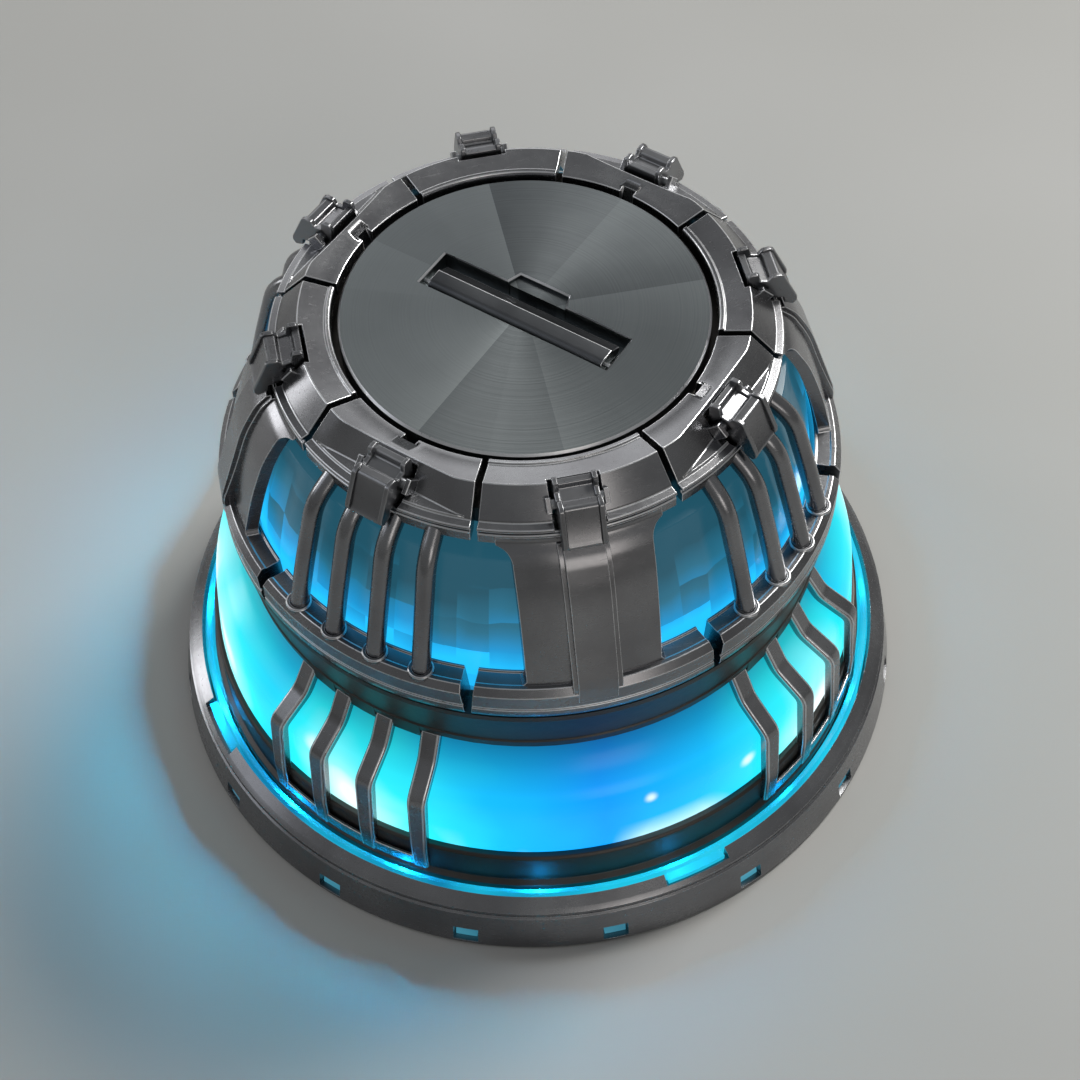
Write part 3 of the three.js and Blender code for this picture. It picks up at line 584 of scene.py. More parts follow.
# Lit panes at the back of the stand's windows: thin curved plates.
paneLook = {"sunk": 0.62, "wall": 0.9, "room": 0.12, "steps": 6}
paneOut = baseRadius - paneLook["sunk"]
panes = []
for k in range(baseLook["windows"]):
    pane = arcShell([(paneOut + 0.03, baseLook["sill"] + paneLook["room"]),
                     (paneOut - 0.3, baseLook["head"] - paneLook["room"]),
                     (paneOut - paneLook["wall"], baseLook["head"] - paneLook["room"]),
                     (paneOut - paneLook["wall"], baseLook["sill"] + paneLook["room"])],
                    np.linspace(-1, 1, paneLook["steps"]),
                    lambda r, z, t: t * (windowHalf - 0.004))
    panes.append(turnedShell(pane, front + k * 2 * pi / baseLook["windows"]))
makePiece("window_panes", panes, windowGlow, "stand", bevel=0.05)

# Light guide: a thin ring whose rounded top shows, with a tab in each recess of the stand.
guideLook = {"wall": 0.75, "gap": 0.3, "tabLow": 5.4, "tabHigh": 6.1, "tabReach": 0.6,
             "steps": 120}
guideOut = lipRadius - guideLook["gap"]
guideIn = guideOut - guideLook["wall"]
tabHalf = recessHalf - guideLook["gap"] / lipRadius


# The outer wall moves out to the tab's reach where a recess of the stand leaves room.
def bendGuide(r, z, a):
    inTab = fromMark(a, baseLook["recesses"], recessFirst) < tabHalf
    level = (z > guideLook["tabLow"]) & (z < guideLook["tabHigh"])
    outer = r > guideOut - tiny
    return np.where(inTab & level & outer, lipRadius + guideLook["tabReach"], r), z


guideProfile = [(guideOut, lightLow[2])]
guideProfile += [(guideOut, z) for z in (guideLook["tabLow"] - tiny, guideLook["tabLow"] + tiny,
                                         guideLook["tabHigh"] - tiny, guideLook["tabHigh"] + tiny)]
guideProfile += [(guideOut - 0.2, lightHigh[2]), (guideIn + 0.2, lightHigh[2]),
                 (guideIn, lightHigh[2] - 0.25), (guideIn, lightLow[2])]
guideAngles = stepAngles(guideLook["steps"], [(baseLook["recesses"], recessFirst, tabHalf)])
makePiece("light_guide", [ringShell(guideProfile, guideAngles, bendGuide)], guideGlow, "stand",
          ["light_ring"], 0.06)
print("stand made")

lowerLook = {"flange": 1.1, "band": 0.6, "wall": 2.0, "steps": 144}
bandRadius = lowerRadius - lowerLook["band"]
lowerProfile = [
    (lowerRadius, lowerBottom), (lowerRadius, lowerBottom + lowerLook["flange"]),
    (bandRadius, lowerBottom + lowerLook["flange"] + 0.4), (bandRadius, lowerTop - 0.25),
    (bandRadius - 0.25, lowerTop),
    (bandRadius - lowerLook["wall"], lowerTop), (bandRadius - lowerLook["wall"], lowerBottom)]
makePiece("lower_band", [ringShell(lowerProfile, stepAngles(lowerLook["steps"], []))],
          darkGunmetal, "rotor", ["lower_ring"], 0.1)

# Outline of the bell, foot to top, that the ribs lie on.
bell = np.array([(lowerRadius + 0.1, lowerTop + 0.3), (lowerRadius - 0.6, lowerTop + 7.8),
                 (skirtRadius + 0.8, lowerTop + 10.2), (skirtRadius - 0.9, skirtBottom - 0.3)])
bellLook = {"inset": 1.3, "wall": 1.2, "blend": 2.6, "steps": 160}
bellFace = rounded(bell - [bellLook["inset"], 0], bellLook["blend"], 9)
bellBack = (bellFace - [bellLook["wall"], 0])[::-1]
makePiece("bell", [ringShell(np.concatenate([bellFace, bellBack]),
                             stepAngles(bellLook["steps"], []))],
          cyanBell, "rotor", ["diffuser"], 0.1)

# Ribs: a flat bar with broken corners carried down the bell, over the band, to a foot.
ribLook = {"count": 4, "pitch": radians(9.4), "top": 2.05, "bottom": 1.75, "depth": 1.0,
           "corner": 0.22, "foot": 7.16, "rail": 1.7}
ribPath = np.concatenate([[(bell[0][0], ribLook["foot"])], bell]) - [ribLook["depth"] / 2, 0]
ribPath = rounded(ribPath, 0.7, 4)
ribRise = (ribPath[:, 1] - ribPath[0, 1]) / (ribPath[-1, 1] - ribPath[0, 1])
half, deep, corner = 0.5, ribLook["depth"] / 2, ribLook["corner"]
ribSection = [(half, -deep), (half, deep - corner), (half - corner, deep),
              (corner - half, deep), (-half, deep - corner), (-half, -deep)]


# A section carried along a path, widened across by the path's own widths.
def widthShell(section, path, widths):
    points, faces = pathShell(section, path)
    across = np.repeat(widths, len(section))
    points[:, 1] = np.sign(points[:, 1]) * (np.abs(points[:, 1]) + (across - 1.0) / 2)
    return points, faces


rib = widthShell(ribSection, ribPath, ribLook["bottom"] +
                 (ribLook["top"] - ribLook["bottom"]) * ribRise)
ribSpan = (ribLook["count"] - 1) * ribLook["pitch"]
ribTurns = [k * ribLook["pitch"] - ribSpan / 2 for k in range(ribLook["count"])]
rail = arcShell([(lowerRadius, ribLook["foot"]), (lowerRadius, ribLook["foot"] + ribLook["rail"]),
                 (bandRadius + 0.25, ribLook["foot"] + ribLook["rail"]),
                 (bandRadius + 0.25, ribLook["foot"])],
                np.linspace(-1, 1, 13), lambda r, z, t: t * ribSpan / 2)
for k in range(4):
    parts = [turnedShell(rib, a) for a in ribTurns] + [rail]
    makePiece(f"ribs_{k + 1}", parts, gunmetal, "rotor", [f"rib_set_{k + 1}"], 0.1,
              front + radians(45 + 90 * k))

# Skirt under the rim: a leaning wall with a rolled edge, and short tabs down between the ribs.
skirtLook = {"wall": 1.6, "tab": 1.1, "tabPart": 0.3, "lean": 0.9, "steps": 96}
skirtFoot = skirtRadius - skirtLook["lean"]


# A point of the lower edge between two ribs drops by the tab's length.
def bendSkirt(r, z, a):
    local = (a - front) % (pi / 2) - pi / 4
    step = local / ribLook["pitch"]
    inTab = (np.abs(local) < ribSpan / 2) & (np.abs(step - np.round(step)) < skirtLook["tabPart"])
    return r, np.where(inTab & (z < skirtBottom + 0.05), z - skirtLook["tab"], z)


tabMarks = [(1, front + radians(45 + 90 * k) + j * ribLook["pitch"],
             ribLook["pitch"] * skirtLook["tabPart"]) for k in range(4) for j in (-1, 0, 1)]
skirtProfile = [
    (skirtFoot, skirtBottom), (skirtFoot + 0.14, skirtBottom + 1.0),
    (skirtFoot + 0.02, skirtBottom + 1.15), (skirtFoot + 0.12, skirtBottom + 1.9),
    (skirtRadius - 0.12, skirtTop - 0.9), (skirtRadius - 0.02, skirtTop - 0.75),
    (skirtRadius, skirtTop), (skirtFoot - skirtLook["wall"] + 0.6, skirtTop),
    (skirtFoot - skirtLook["wall"] + 0.5, skirtBottom)]
makePiece("skirt", [ringShell(skirtProfile, stepAngles(skirtLook["steps"], tabMarks), bendSkirt)],
          darkGunmetal, "rotor", ["skirt_ring"], 0.14)

# Glowing shell behind the petals: broad flat facets with raised blocks, like a cut lens.
shellLook = {"facets": 32, "facetRise": 0.3, "wall": 1.2}
shellFace = np.array([(shellHigh[0], shellLow[2]), (shellHigh[0], rimTop),
                      (bellyRadius - 1.75, bellyHeight), (kneeRadius - 1.75, kneeHeight),
                      (crownOuter - 0.4, shellHigh[2])])


# Every second cell of the outer face, from rim to shoulder, is pressed in by the facet's rise.
def bendShell(r, z, a):
    cell = np.floor((a - front) / (2 * pi) * shellLook["facets"] * 2) % 2
    mid = (z > rimTop + 1.0) & (z < kneeHeight - 0.5)
    return np.where((cell == 1) & mid, r - shellLook["facetRise"], r), z


shellRows = [shellFace[0], shellFace[1], shellFace[1] * 0.8 + shellFace[2] * 0.2,
             shellFace[2], shellFace[2] * 0.35 + shellFace[3] * 0.65,
             shellFace[2] * 0.3 + shellFace[3] * 0.7, shellFace[3], shellFace[4]]
shellBack = [(r - shellLook["wall"], z) for r, z in shellRows[::-1]]
makePiece("inner_glow", [ringShell(shellRows + shellBack, stepAngles(128, []), bendShell)],
          tealShell, "rotor", ["inner_shell"], 0.12)
print("lower tier made")

crownLook = {"gap": 0.6, "dip": 0.6, "plate": 1.6, "chord": 0.9, "chordDrop": 2.4,
             "lipRise": 0.24, "lipWidth": 0.6, "beadAt": 1.62, "bevel": 0.09,
             "steps": 25, "notchInner": 20.7, "notchWidth": 4.7, "sill": 1.3,
             "mark": 0.7, "markDepth": 0.7}
rimLook = {"inner": 2.8, "chamfer": 0.75, "groove": 0.16, "grooveAt": 1.1, "flare": 0.35}
panelLook = {"half": 6.4, "wall": 1.3, "topFillet": 1.2, "footFillet": 0.4, "rows": 90, "cols": 17,
             "bevel": 0.11}
strapLook = {"width": 3.8, "rise": 0.7, "underWidth": 4.7, "underRise": 0.28}
tubeLook = {"radius": 0.92, "pitch": radians(9.1), "count": 4, "sides": 16,
            "socketOut": 1.28, "socketIn": 0.85, "socketRise": 0.28, "footIn": 1.4,
            "bend": 2.2}
knuckleLook = {"radius": 1.05, "length": 0.5, "sides": 4, "pin": 0.5}
fasciaSlope = (flangeRadius - 0.5 - crownOuter) / (crownTop - flangeBottom - 1.8)


# Azimuth of a point t of the way across a petal: the seam keeps one width at every radius.
def petalSide(r, z, t):
    return t * (halfTurn - np.arcsin(crownLook["gap"] / 2 / r))


# Radius of the leaning fascia at height z: straight from the crown's edge to the flange.
def fasciaRadius(z):
    return crownOuter + (crownTop - z) * fasciaSlope


# Crown section: underside, flange, bead, leaning fascia, outer edge, dished top, inner lip.
def crownProfile(withLip):
    look = crownLook
    bead = flangeBottom + look["beadAt"]
    ledge = crownTop - look["chordDrop"]
    low = crownTop - look["dip"]
    line = [(flangeRadius - 1.3, flangeBottom), (flangeRadius, flangeBottom),
            (flangeRadius - 0.02, bead - 0.5), (flangeRadius - 0.3, bead - 0.36),
            (flangeRadius - 0.3, bead - 0.16), (flangeRadius + 0.08, bead - 0.02),
            (flangeRadius - 0.02, bead + 0.26), (fasciaRadius(bead + 0.36) - 0.12, bead + 0.36)]
    line += [(fasciaRadius(z), z) for z in (ledge - tiny, ledge + tiny, ledge + 0.8, ledge + 1.6)]
    line += [(crownOuter, crownTop), (crownOuter - 1.2, crownTop - 0.23)]
    if withLip:
        line += [(crownInner + look["lipWidth"], low + 0.12),
                 (crownInner + look["lipWidth"] - 0.1, low + 0.1 + look["lipRise"]),
                 (crownInner + 0.1, low + look["lipRise"])]
    else:
        line += [(crownInner + look["markDepth"] + tiny, low + 0.13),
                 (crownInner + look["markDepth"] - tiny, low + 0.13)]
    line += [(crownInner, low), (crownInner, low - look["plate"]),
             (crownOuter - 0.7, crownTop - look["plate"])]
    return line


# A flat face cut across the crown's outer side, and a small notch in its inner edge.
def bendCrown(r, z, a):
    look = crownLook
    plane = crownOuter - look["chord"] + (crownTop - z) * fasciaSlope * 0.8
    cut = np.minimum(r, plane / np.cos(a))
    onFace = (z > crownTop - look["chordDrop"]) & (r > crownOuter - 0.1)
    top = onFace & (z > crownTop - 0.05)
    r2 = np.where(onFace, cut, r)
    z2 = np.where(top, z - (r - r2) * look["dip"] / (crownOuter - crownInner), z)
    inMark = (np.abs(r * a) < look["mark"]) & (r < crownInner + look["markDepth"]) & (
        z > crownTop - look["dip"] - 1.0)
    return np.where(inMark, crownInner + look["markDepth"], r2), z2


# Rim section: grooved outer wall, chamfer, and a flat top with a raised inner edge.
def rimProfile():
    look = rimLook
    mid = rimBottom + look["grooveAt"]
    return [(rimRadius - 0.12, rimBottom), (rimRadius, rimBottom + 0.3), (rimRadius, mid),
            (rimRadius - look["groove"], mid + 0.1), (rimRadius - look["groove"], mid + 0.32),
            (rimRadius, mid + 0.42), (rimRadius, rimTop - look["chamfer"]),
            (rimRadius - look["chamfer"] * 0.85, rimTop - 0.06),
            (rimRadius - look["chamfer"] - 0.35, rimTop - 0.06),
            (rimRadius - look["chamfer"] - 0.4, rimTop - 0.18),
            (rimRadius - look["inner"] + 0.3, rimTop - 0.18),
            (rimRadius - look["inner"] + 0.25, rimTop),
            (rimRadius - look["inner"], rimTop), (rimRadius - look["inner"], rimBottom)]


# Like the petal's side, but the seam opens towards the top of the rim.
def rimSide(r, z, t):
    opening = np.clip((z - rimBottom) / (rimTop - rimBottom), 0, 1) * rimLook["flare"]
    return t * (halfTurn - np.arcsin((crownLook["gap"] / 2 + opening) / r))


# Cuts closed shells out of another one and gives the rest back as points and faces.
def carved(shell, cutters):
    whole = placed("whole", outwardMesh("whole", *shell))
    tools = [placed("tool", outwardMesh("tool", *cutter)) for cutter in cutters]
    for tool in tools:
        step = whole.modifiers.new("cut", "BOOLEAN")
        step.operation = "DIFFERENCE"
        step.object = tool
        step.solver = "EXACT"
    bpy.context.view_layer.update()
    rest = whole.evaluated_get(bpy.context.evaluated_depsgraph_get()).to_mesh()
    points = np.zeros(len(rest.vertices) * 3)
    rest.vertices.foreach_get("co", points)
    faces = [list(face.vertices) for face in rest.polygons]
    for done in [whole] + tools:
        bpy.data.meshes.remove(done.data)
    return points.reshape(-1, 3), faces


# Box with its corners given by ranges of x, y and z.
def boxShell(x, y, z):
    return slabShell([(x[0], z[0]), (x[1], z[0]), (x[1], z[1]), (x[0], z[1])], y[0], y[1])


# Round bar along y about a point (x, z), from y0 to y1.
def barrelShell(radius, x, z, y0, y1, sides):
    line = circleSection(radius, sides) + [x, z]
    return slabShell(line, y0, y1)


notchHalf = crownLook["notchWidth"] / 2
notchTool = boxShell((crownLook["notchInner"], flangeRadius + 5), (-notchHalf, notchHalf),
                     (flangeBottom + crownLook["sill"], crownTop + 2))
pinTool = barrelShell(0.62, hingeRadius, hingeHeight, -notchHalf - 0.35, notchHalf + 0.35, 16)


# Parts that both kinds of petal share: notched crown, knuckles and rim.
def petalFrame(withLip):
    marks = crownLook["mark"] / crownInner
    spread = (halfTurn - asin(crownLook["gap"] / 2 / crownInner))
    even = np.linspace(-1, 1, crownLook["steps"])
    steps = even if withLip else np.unique(np.concatenate([even, [
        side * marks / spread + near for side in (-1, 1) for near in (-hair, hair)]]))
    crown = arcShell(crownProfile(withLip), steps, petalSide, None if withLip else bendCrown)
    crown = carved(crown, [notchTool, pinTool])
    knuckles = [barrelShell(knuckleLook["radius"], hingeRadius, hingeHeight, y0, y1,
                            knuckleLook["sides"])
                for y0, y1 in ((notchHalf, notchHalf + knuckleLook["length"]),
                               (-notchHalf - knuckleLook["length"], -notchHalf))]
    rim = arcShell(rimProfile(), np.linspace(-1, 1, 21), rimSide)
    return [crown] + knuckles, [rim]


belly, knee, neck = np.array([(bellyRadius, bellyHeight), (kneeRadius, kneeHeight),
                              (flangeRadius, flangeBottom + 0.3)])
petalFace = np.array([(rimRadius - 1, rimTop - 0.3), belly, belly + (knee - belly) * 0.7,
                      knee + (neck - knee) * 0.45, neck, neck + [0, 0.6]])


# Panel: width follows a quarter circle outwards near the crown and near the rim.
def panelShell():
    look = panelLook
    path = resampled(rounded(petalFace, 6, 14), look["rows"])
    z = path[:, 1]
    up = np.clip((z - (flangeBottom - look["topFillet"])) / look["topFillet"], 0, 1)
    down = np.clip(((rimTop + look["footFillet"]) - z) / look["footFillet"], 0, 1)
    half = (look["half"] + look["topFillet"] * (1 - np.sqrt(1 - up ** 2)) +
            look["footFillet"] * (1 - np.sqrt(1 - down ** 2)))
    v = np.linspace(-1, 1, look["cols"])

    def face(r):
        y = v * half[:, None]
        x = np.sqrt(r[:, None] ** 2 - y ** 2)
        return np.stack([x, y, np.broadcast_to(z[:, None], y.shape)], -1)
    return plateShell(face(path[:, 0]), face(path[:, 0] - look["wall"]))


# Strap down the middle of the panel and over the rim.
def strapShell(width, rise, end):
    over = [(rimRadius + min(rise - 0.7, 0) * 0.4, rimTop - end),
            (rimRadius + min(rise - 0.7, 0) * 0.4, rimTop + 0.4)]
    face = np.concatenate([over, petalFace[1:4] + [rise, 0],
                           [(flangeRadius + rise, flangeBottom + 0.25)]])
    face = rounded(face, 6, 12)
    back = np.array([(flangeRadius - 0.8, flangeBottom + 0.25), tuple(petalFace[3] - [0.65, 0]),
                     tuple(petalFace[2] - [0.65, 0]), tuple(belly - [0.65, 0]),
                     (rimRadius - 1.6, rimTop - 0.2),
                     (rimRadius - 1.0, rimTop - end)])
    return slabShell(np.concatenate([face, back]), -width / 2, width / 2)


# Round bar bent at the shoulder, with a shallow socket round its foot.
def tubeShell():
    look = tubeLook
    path = rounded([(flangeRadius - 1.05, flangeBottom + 0.5),
                    (kneeRadius - 0.35, kneeHeight + 0.05), (bellyRadius - 0.6, bellyHeight),
                    (rimRadius - look["footIn"], rimTop - 0.5)], look["bend"], 8)
    return pathShell(circleSection(look["radius"], look["sides"]), path)


# A low collar round the bar's foot, cupped on top.
def socketShell():
    look = tubeLook
    ring = ringShell([(look["socketOut"], rimTop - 0.4), (look["socketOut"], rimTop + 0.02),
                      (look["socketOut"] - 0.12, rimTop + look["socketRise"] * 0.5),
                      (look["socketIn"], rimTop + look["socketRise"] * 0.5),
                      (look["socketIn"], rimTop - 0.4)],
                     np.arange(20) / 20 * 2 * pi)
    return ring[0] + [rimRadius - look["footIn"], 0, 0], ring[1]


strapCrown, strapParts = petalFrame(True)
strapParts += [
    panelShell(), strapShell(strapLook["underWidth"], strapLook["underRise"], 0.9),
    strapShell(strapLook["width"], strapLook["rise"], 2.0)]
tubeSpan = (tubeLook["count"] - 1) * tubeLook["pitch"]
tubeTurns = [k * tubeLook["pitch"] - tubeSpan / 2 for k in range(tubeLook["count"])]
barCrown, barParts = petalFrame(False)
barParts += [turnedShell(shell, a) for a in tubeTurns for shell in (tubeShell(), socketShell())]

# Hinge clip: two side rails with a sunk bar and a sunk block between them.
clipLook = {"railAt": 1.78, "railWidth": 0.5, "rise": 0.8, "bevel": 0.14}
seatTop = crownTop - crownLook["dip"] - crownLook["plate"] - 1.2
bead = flangeBottom + crownLook["beadAt"]
notchIn = crownLook["notchInner"] + 0.35
clipUnder = [(notchIn, seatTop + 0.3), (crownOuter + 0.3, seatTop + 0.3),
             (flangeRadius - 0.9, seatTop + 0.75), (flangeRadius + 0.35, bead + 0.15)]
railOutline = clipUnder + [
    (flangeRadius + 0.5, bead - 0.6), (clipOut - 0.35, bead - 0.95), (clipOut, bead - 0.5),
    (clipOut - 0.05, bead), (flangeRadius + 0.25, crownTop + 0.05),
    (flangeRadius - 0.15, crownTop + 0.25), (flangeRadius - 0.9, crownTop + 0.2),
    (flangeRadius - 1.3, crownTop - 0.3), (crownOuter + 1.0, crownTop - 0.1),
    (crownOuter + 0.9, crownTop + clipLook["rise"] - 0.15),
    (crownOuter + 0.7, crownTop + clipLook["rise"]),
    (notchIn + 0.2, crownTop + clipLook["rise"]), (notchIn, crownTop + clipLook["rise"] - 0.2)]
middleOutline = clipUnder + [
    (flangeRadius + 0.55, bead - 0.5), (clipOut - 0.45, bead - 0.85), (clipOut - 0.1, bead - 0.75),
    (clipOut - 0.1, bead - 0.45), (clipOut - 0.4, bead - 0.15),
    (flangeRadius + 0.05, crownTop - 0.1), (flangeRadius - 0.2, crownTop + 0.05),
    (flangeRadius - 1.0, crownTop), (flangeRadius - 1.25, crownTop - 0.5),
    (crownOuter + 0.6, crownTop - 0.25), (crownOuter + 0.4, crownTop + 0.3),
    (notchIn, crownTop + 0.3)]
railIn = clipLook["railAt"] - clipLook["railWidth"] / 2
railOut = clipLook["railAt"] + clipLook["railWidth"] / 2
clipParts = [slabShell(middleOutline, -railIn - 0.05, railIn + 0.05),
             slabShell(railOutline, -railOut, -railIn), slabShell(railOutline, railIn, railOut)]

pinReach = notchHalf + 0.3
pinShell = barrelShell(knuckleLook["pin"], hingeRadius, hingeHeight, -pinReach, pinReach, 16)
for k in range(petalCount):
    angle = front + k * petalSpan
    bar = k % 2 == 1
    makePiece(f"petal_{k + 1}_crown", barCrown if bar else strapCrown, gunmetal,
              f"petal_{k + 1}", [f"petal_{k + 1}"], crownLook["bevel"], angle,
              clamped=False)
    makePiece(f"petal_{k + 1}_{'bars' if bar else 'strap'}", barParts if bar else strapParts,
              gunmetal, f"petal_{k + 1}", [f"petal_{k + 1}"], panelLook["bevel"], angle)
    makePiece(f"pin_{k + 1}", [pinShell], turnedSteel, f"petal_{k + 1}",
              [f"hinge_pin_{k + 1}"], 0.06, angle)
    makePiece(f"clip_{k + 1}", clipParts, clipMetal, "rotor", [f"hinge_clip_{k + 1}"],
              clipLook["bevel"], angle)
print("petals made")

discLook = {"depth": 2.0, "lean": 0.02, "lip": 0.16, "edge": 0.2, "sunk": 0.02, "steps": 240,
            "rings": 6, "nailFloor": 0.6}
gripTurn = front + radians(45)
slotOutline = np.array([(-10.45, -2.4), (10.45, -2.4), (10.45, 2.1), (3.2, 2.1), (2.7, 3.5),
                        (-2.7, 3.5), (-3.2, 2.1), (-10.45, 2.1)])


# Distance from the middle to a polygon's edge in each direction.
def reachOf(outline, angles):
    start = outline
    side = np.roll(outline, -1, 0) - outline
    d = np.stack([np.cos(angles), np.sin(angles)], -1)
    cross = d[:, None, 0] * side[None, :, 1] - d[:, None, 1] * side[None, :, 0]
    cross = np.where(np.abs(cross) < 1e-12, 1e-12, cross)  # parallel
    t = (start[None, :, 0] * side[None, :, 1] - start[None, :, 1] * side[None, :, 0]) / cross
    u = (start[None, :, 0] * d[:, None, 1] - start[None, :, 1] * d[:, None, 0]) / cross
    hit = (u >= -1e-9) & (u <= 1 + 1e-9) & (t > 0)
    return np.where(hit, t, np.inf).min(1)


# Disc: rings from the slot's outline to a circle; the top is a low eight-sided pyramid.
def discShell():
    look = discLook
    angles = np.unique(np.round(np.concatenate([
        np.arctan2(slotOutline[:, 1], slotOutline[:, 0]) % (2 * pi),
        np.arange(look["steps"]) / look["steps"] * 2 * pi]), 6))
    slot = reachOf(slotOutline, angles)
    toFacet = (angles + pi / 4 + halfTurn) % petalSpan - halfTurn  # from the middle of a facet

    def onTop(r):
        return discTop - look["sunk"] - look["lean"] * r * np.cos(toFacet)
    rim = np.full_like(angles, discRadius)
    first, last = slot + look["lip"], rim - look["edge"]
    rings = [(slot, np.full_like(rim, discTop - look["depth"])), (slot, onTop(slot) - look["lip"])]
    for k in range(look["rings"] + 1):
        r = first + (last - first) * k / look["rings"]
        rings.append((r, onTop(r)))
    rings += [(rim, onTop(rim) - look["edge"]), (rim, np.full_like(rim, discLow[2]))]
    points = np.stack([polar(r, angles, z) for r, z in rings])
    return (points.reshape(-1, 3), cappedFaces(*points.shape[:2])), len(angles)


discMesh, aroundDisc = discShell()
# Shallow floor of the nail notch, let into the notch's walls.
nailFloor = boxShell((-3.1, 3.1), (2.15, 3.55),
                     (discTop - discLook["depth"], discTop - discLook["nailFloor"]))
disc = makePiece("disc", [discMesh, nailFloor], spunDisc, "rotor", ["top_disc"],
                 0, gripTurn, flat=True)
# Painted highlight: the slot's lip and the disc's edge get the near-white edge metal.
disc.data.materials.append(paintedEdgeHighlight)
for band in (1, discLook["rings"] + 2):  # the slot's lip and the disc's edge
    for face in disc.data.polygons[band * aroundDisc:(band + 1) * aroundDisc]:
        face.material_index = 1

# Grip: a flat bar with a round hinge edge, lying in the disc's slot.
gripLook = {"half": 9.7, "near": -1.35, "far": 1.25, "radius": 0.75, "corner": 0.3, "ridge": -0.1,
            "bevel": 0.08}
level = gripHinge[2]
arc = np.linspace(pi / 2, 3 * pi / 2, 9)
gripLine = [(gripLook["near"] + gripLook["radius"] * cos(t), level + gripLook["radius"] * sin(t))
            for t in arc]
gripLine += [(gripLook["far"] - gripLook["corner"], level - 0.75),
             (gripLook["far"], level - 0.75 + gripLook["corner"]),
             (gripLook["far"], level - 0.05), (gripLook["ridge"] + 0.3, level + 0.45),
             (gripLook["ridge"], level + 0.75)]
gripShell = slabShell(gripLine, -gripLook["half"], gripLook["half"])
gripBar = (np.stack([gripShell[0][:, 1], gripShell[0][:, 0], gripShell[0][:, 2]], -1),
           gripShell[1])
makePiece("grip", [gripBar], satinGunmetal, "grip", ["grip_bar"], gripLook["bevel"],
          gripTurn)
print("disc and grip made")

slotFinish = {
    "gunmetal": gunmetal, "dark_gunmetal": darkGunmetal, "brushed_disc": spunDisc,
    "bright_steel": turnedSteel, "cyan_lens": guideGlow, "teal_lens": tealShell,
    "clear_lens": clearMoulding, "black_plastic": blackAbs, "circuit_board": solderMask,
    "rubber_foot": footRubber, "led_lens": lampGlow, "brass_leaf": brassStrip}
slotOf = {row["node"]: row["material_slot"] for row in frame["record"]["subparts"]}
for node, part in frame["nodes"].items():
    for place in part.material_slots:
        place.material = slotFinish[slotOf[node]]
print("finishes given to the inner parts")

stageLook = {"size": 4.0, "floor": ("#9A9A98", "#A1A1A0"), "horizon": "#8C8C8A",
             "zenith": "#9EA0A1", "worldPower": 0.78}
floorMesh = bpy.data.meshes.new("floor")
reach = stageLook["size"]
floorMesh.from_pydata([(-reach, -reach, 0), (reach, -reach, 0), (reach, reach, 0),
                       (-reach, reach, 0)], [], [(0, 1, 2, 3)])
floor = placed("floor", floorMesh)
floorPaint = moulded("matt_painted_table", *stageLook["floor"], 0.55, 3.0, 1.45, 0.01)
floorMesh.materials.append(floorPaint)

world = bpy.data.worlds.new("studio")
world.use_nodes = True
sky = world.node_tree
skyHeight = addNode(sky, "SeparateXYZ", links={0: addNode(sky, "TexCoord").outputs["Generated"]})
skyTone = rampNode(sky, skyHeight.outputs["Z"], [(0.0, stageLook["horizon"]),
                                                 (0.9, stageLook["zenith"])])
background = sky.nodes["Background"]
background.inputs["Strength"].default_value = stageLook["worldPower"]
sky.links.new(skyTone.outputs["Color"], background.inputs["Color"])
scene.world = world

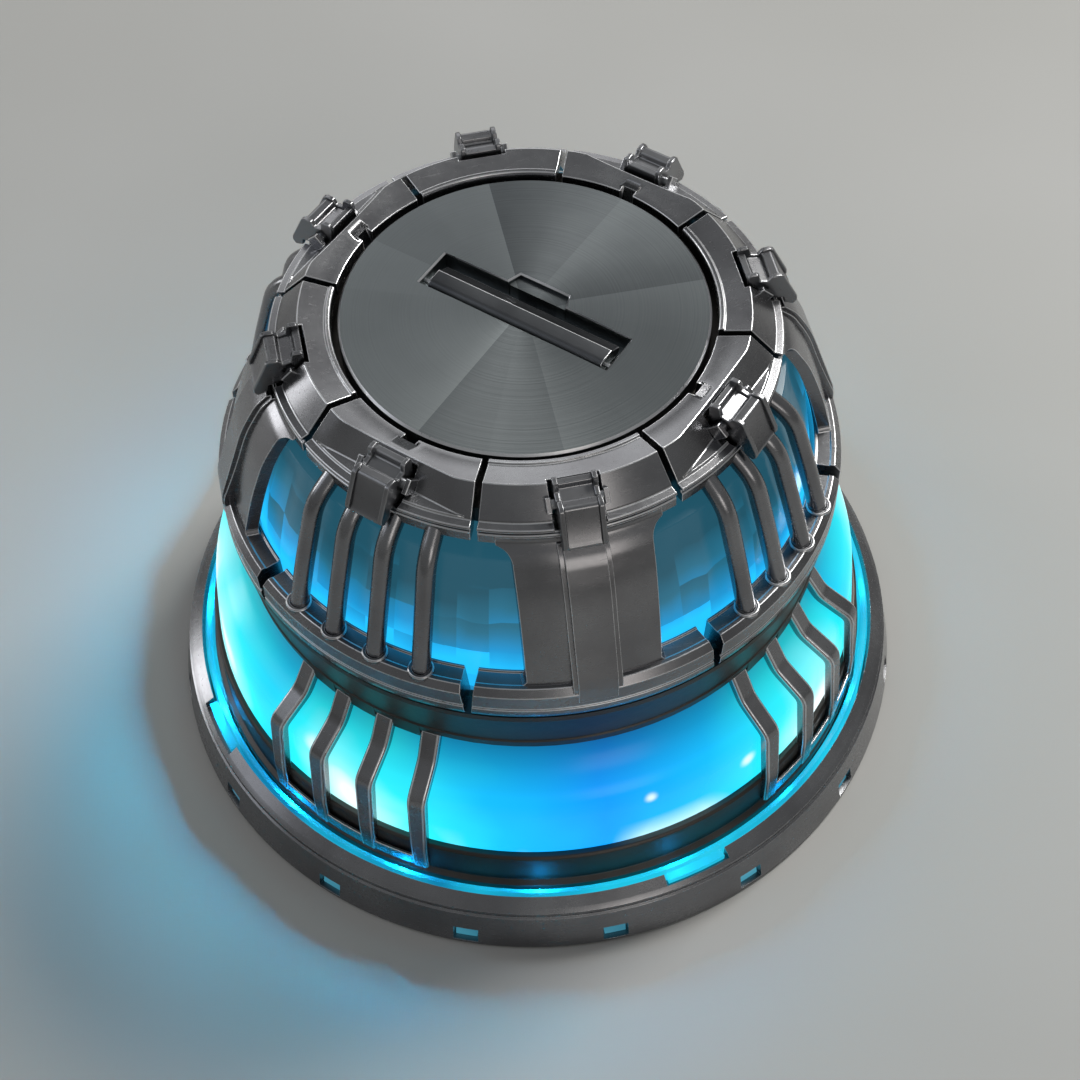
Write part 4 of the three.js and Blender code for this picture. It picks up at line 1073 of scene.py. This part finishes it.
# Area lamps: place, the height they point at, size, power and colour.
lamps = {
    "key": ((0.46, 0.26, 0.6), 0.03, (0.26, 0.2), 5.7, "#FFFDF8"),
    "fill": ((-0.55, 0.1, 0.5), 0.03, (0.3, 0.5), 0.5, "#F2F6FF"),
    "edge": ((-0.6, 0.35, 0.22), 0.04, (0.12, 0.3), 0.7, "#FFFFFF"),
    "back": ((-0.05, 0.95, 0.55), 0.04, (0.9, 0.4), 1.5, "#FFFFFF"),
    "front": ((0.15, -0.7, 0.35), 0.03, (0.25, 0.35), 0.55, "#FFF8F0"),
}
for name, (at, aim, size, power, tint) in lamps.items():
    light = bpy.data.lights.new(name, "AREA")
    light.shape = "RECTANGLE"
    light.size, light.size_y = size
    light.energy = power
    light.color = paint(tint)[:3]
    holder = placed(name, light)
    holder.location = at
    ray = Vector((0, 0, aim)) - Vector(at)
    holder.rotation_euler = ray.to_track_quat("-Z", "Y").to_euler()

# The light that leaves the gap round the bell's foot, most of it towards one side.
spillLook = {"count": 16, "radius": 0.0362, "height": 0.0072, "tint": "#2FC4F4", "size": 0.0008,
             "low": 0.004, "high": 0.03, "side": radians(-75)}
for k in range(spillLook["count"]):
    a = (k + 0.5) * 2 * pi / spillLook["count"]
    towards = max(0.0, cos(a - spillLook["side"]))
    glow = bpy.data.lights.new("spill", "POINT")
    glow.energy = spillLook["low"] + (spillLook["high"] - spillLook["low"]) * towards
    glow.color = paint(spillLook["tint"])[:3]
    glow.shadow_soft_size = spillLook["size"]
    holder = placed("spill", glow)
    holder.location = (spillLook["radius"] * cos(front + a), spillLook["radius"] * sin(front + a),
                       spillLook["height"])
    holder.visible_camera = False
    holder.visible_glossy = False

cameraLook = {"at": (-0.02258, -0.12675, 0.19132), "ahead": (0.10738, 0.58390, -0.8047),
              "up": (0.17889, 0.78478, 0.5934), "lens": 66.67, "sensor": 36, "nearest": 0.01}
camera = bpy.data.cameras.new("camera")
camera.lens = cameraLook["lens"]
camera.sensor_width = cameraLook["sensor"]
camera.clip_start = cameraLook["nearest"]
ahead = Vector(cameraLook["ahead"]).normalized()
right = ahead.cross(Vector(cameraLook["up"])).normalized()
up = right.cross(ahead)
eye = placed("camera", camera)
eye.matrix_world = Matrix.Translation(cameraLook["at"]) @ Matrix(
    (right, up, -ahead)).transposed().to_4x4()
scene.camera = eye
scene.view_settings.view_transform = "Standard"
print("stage made")
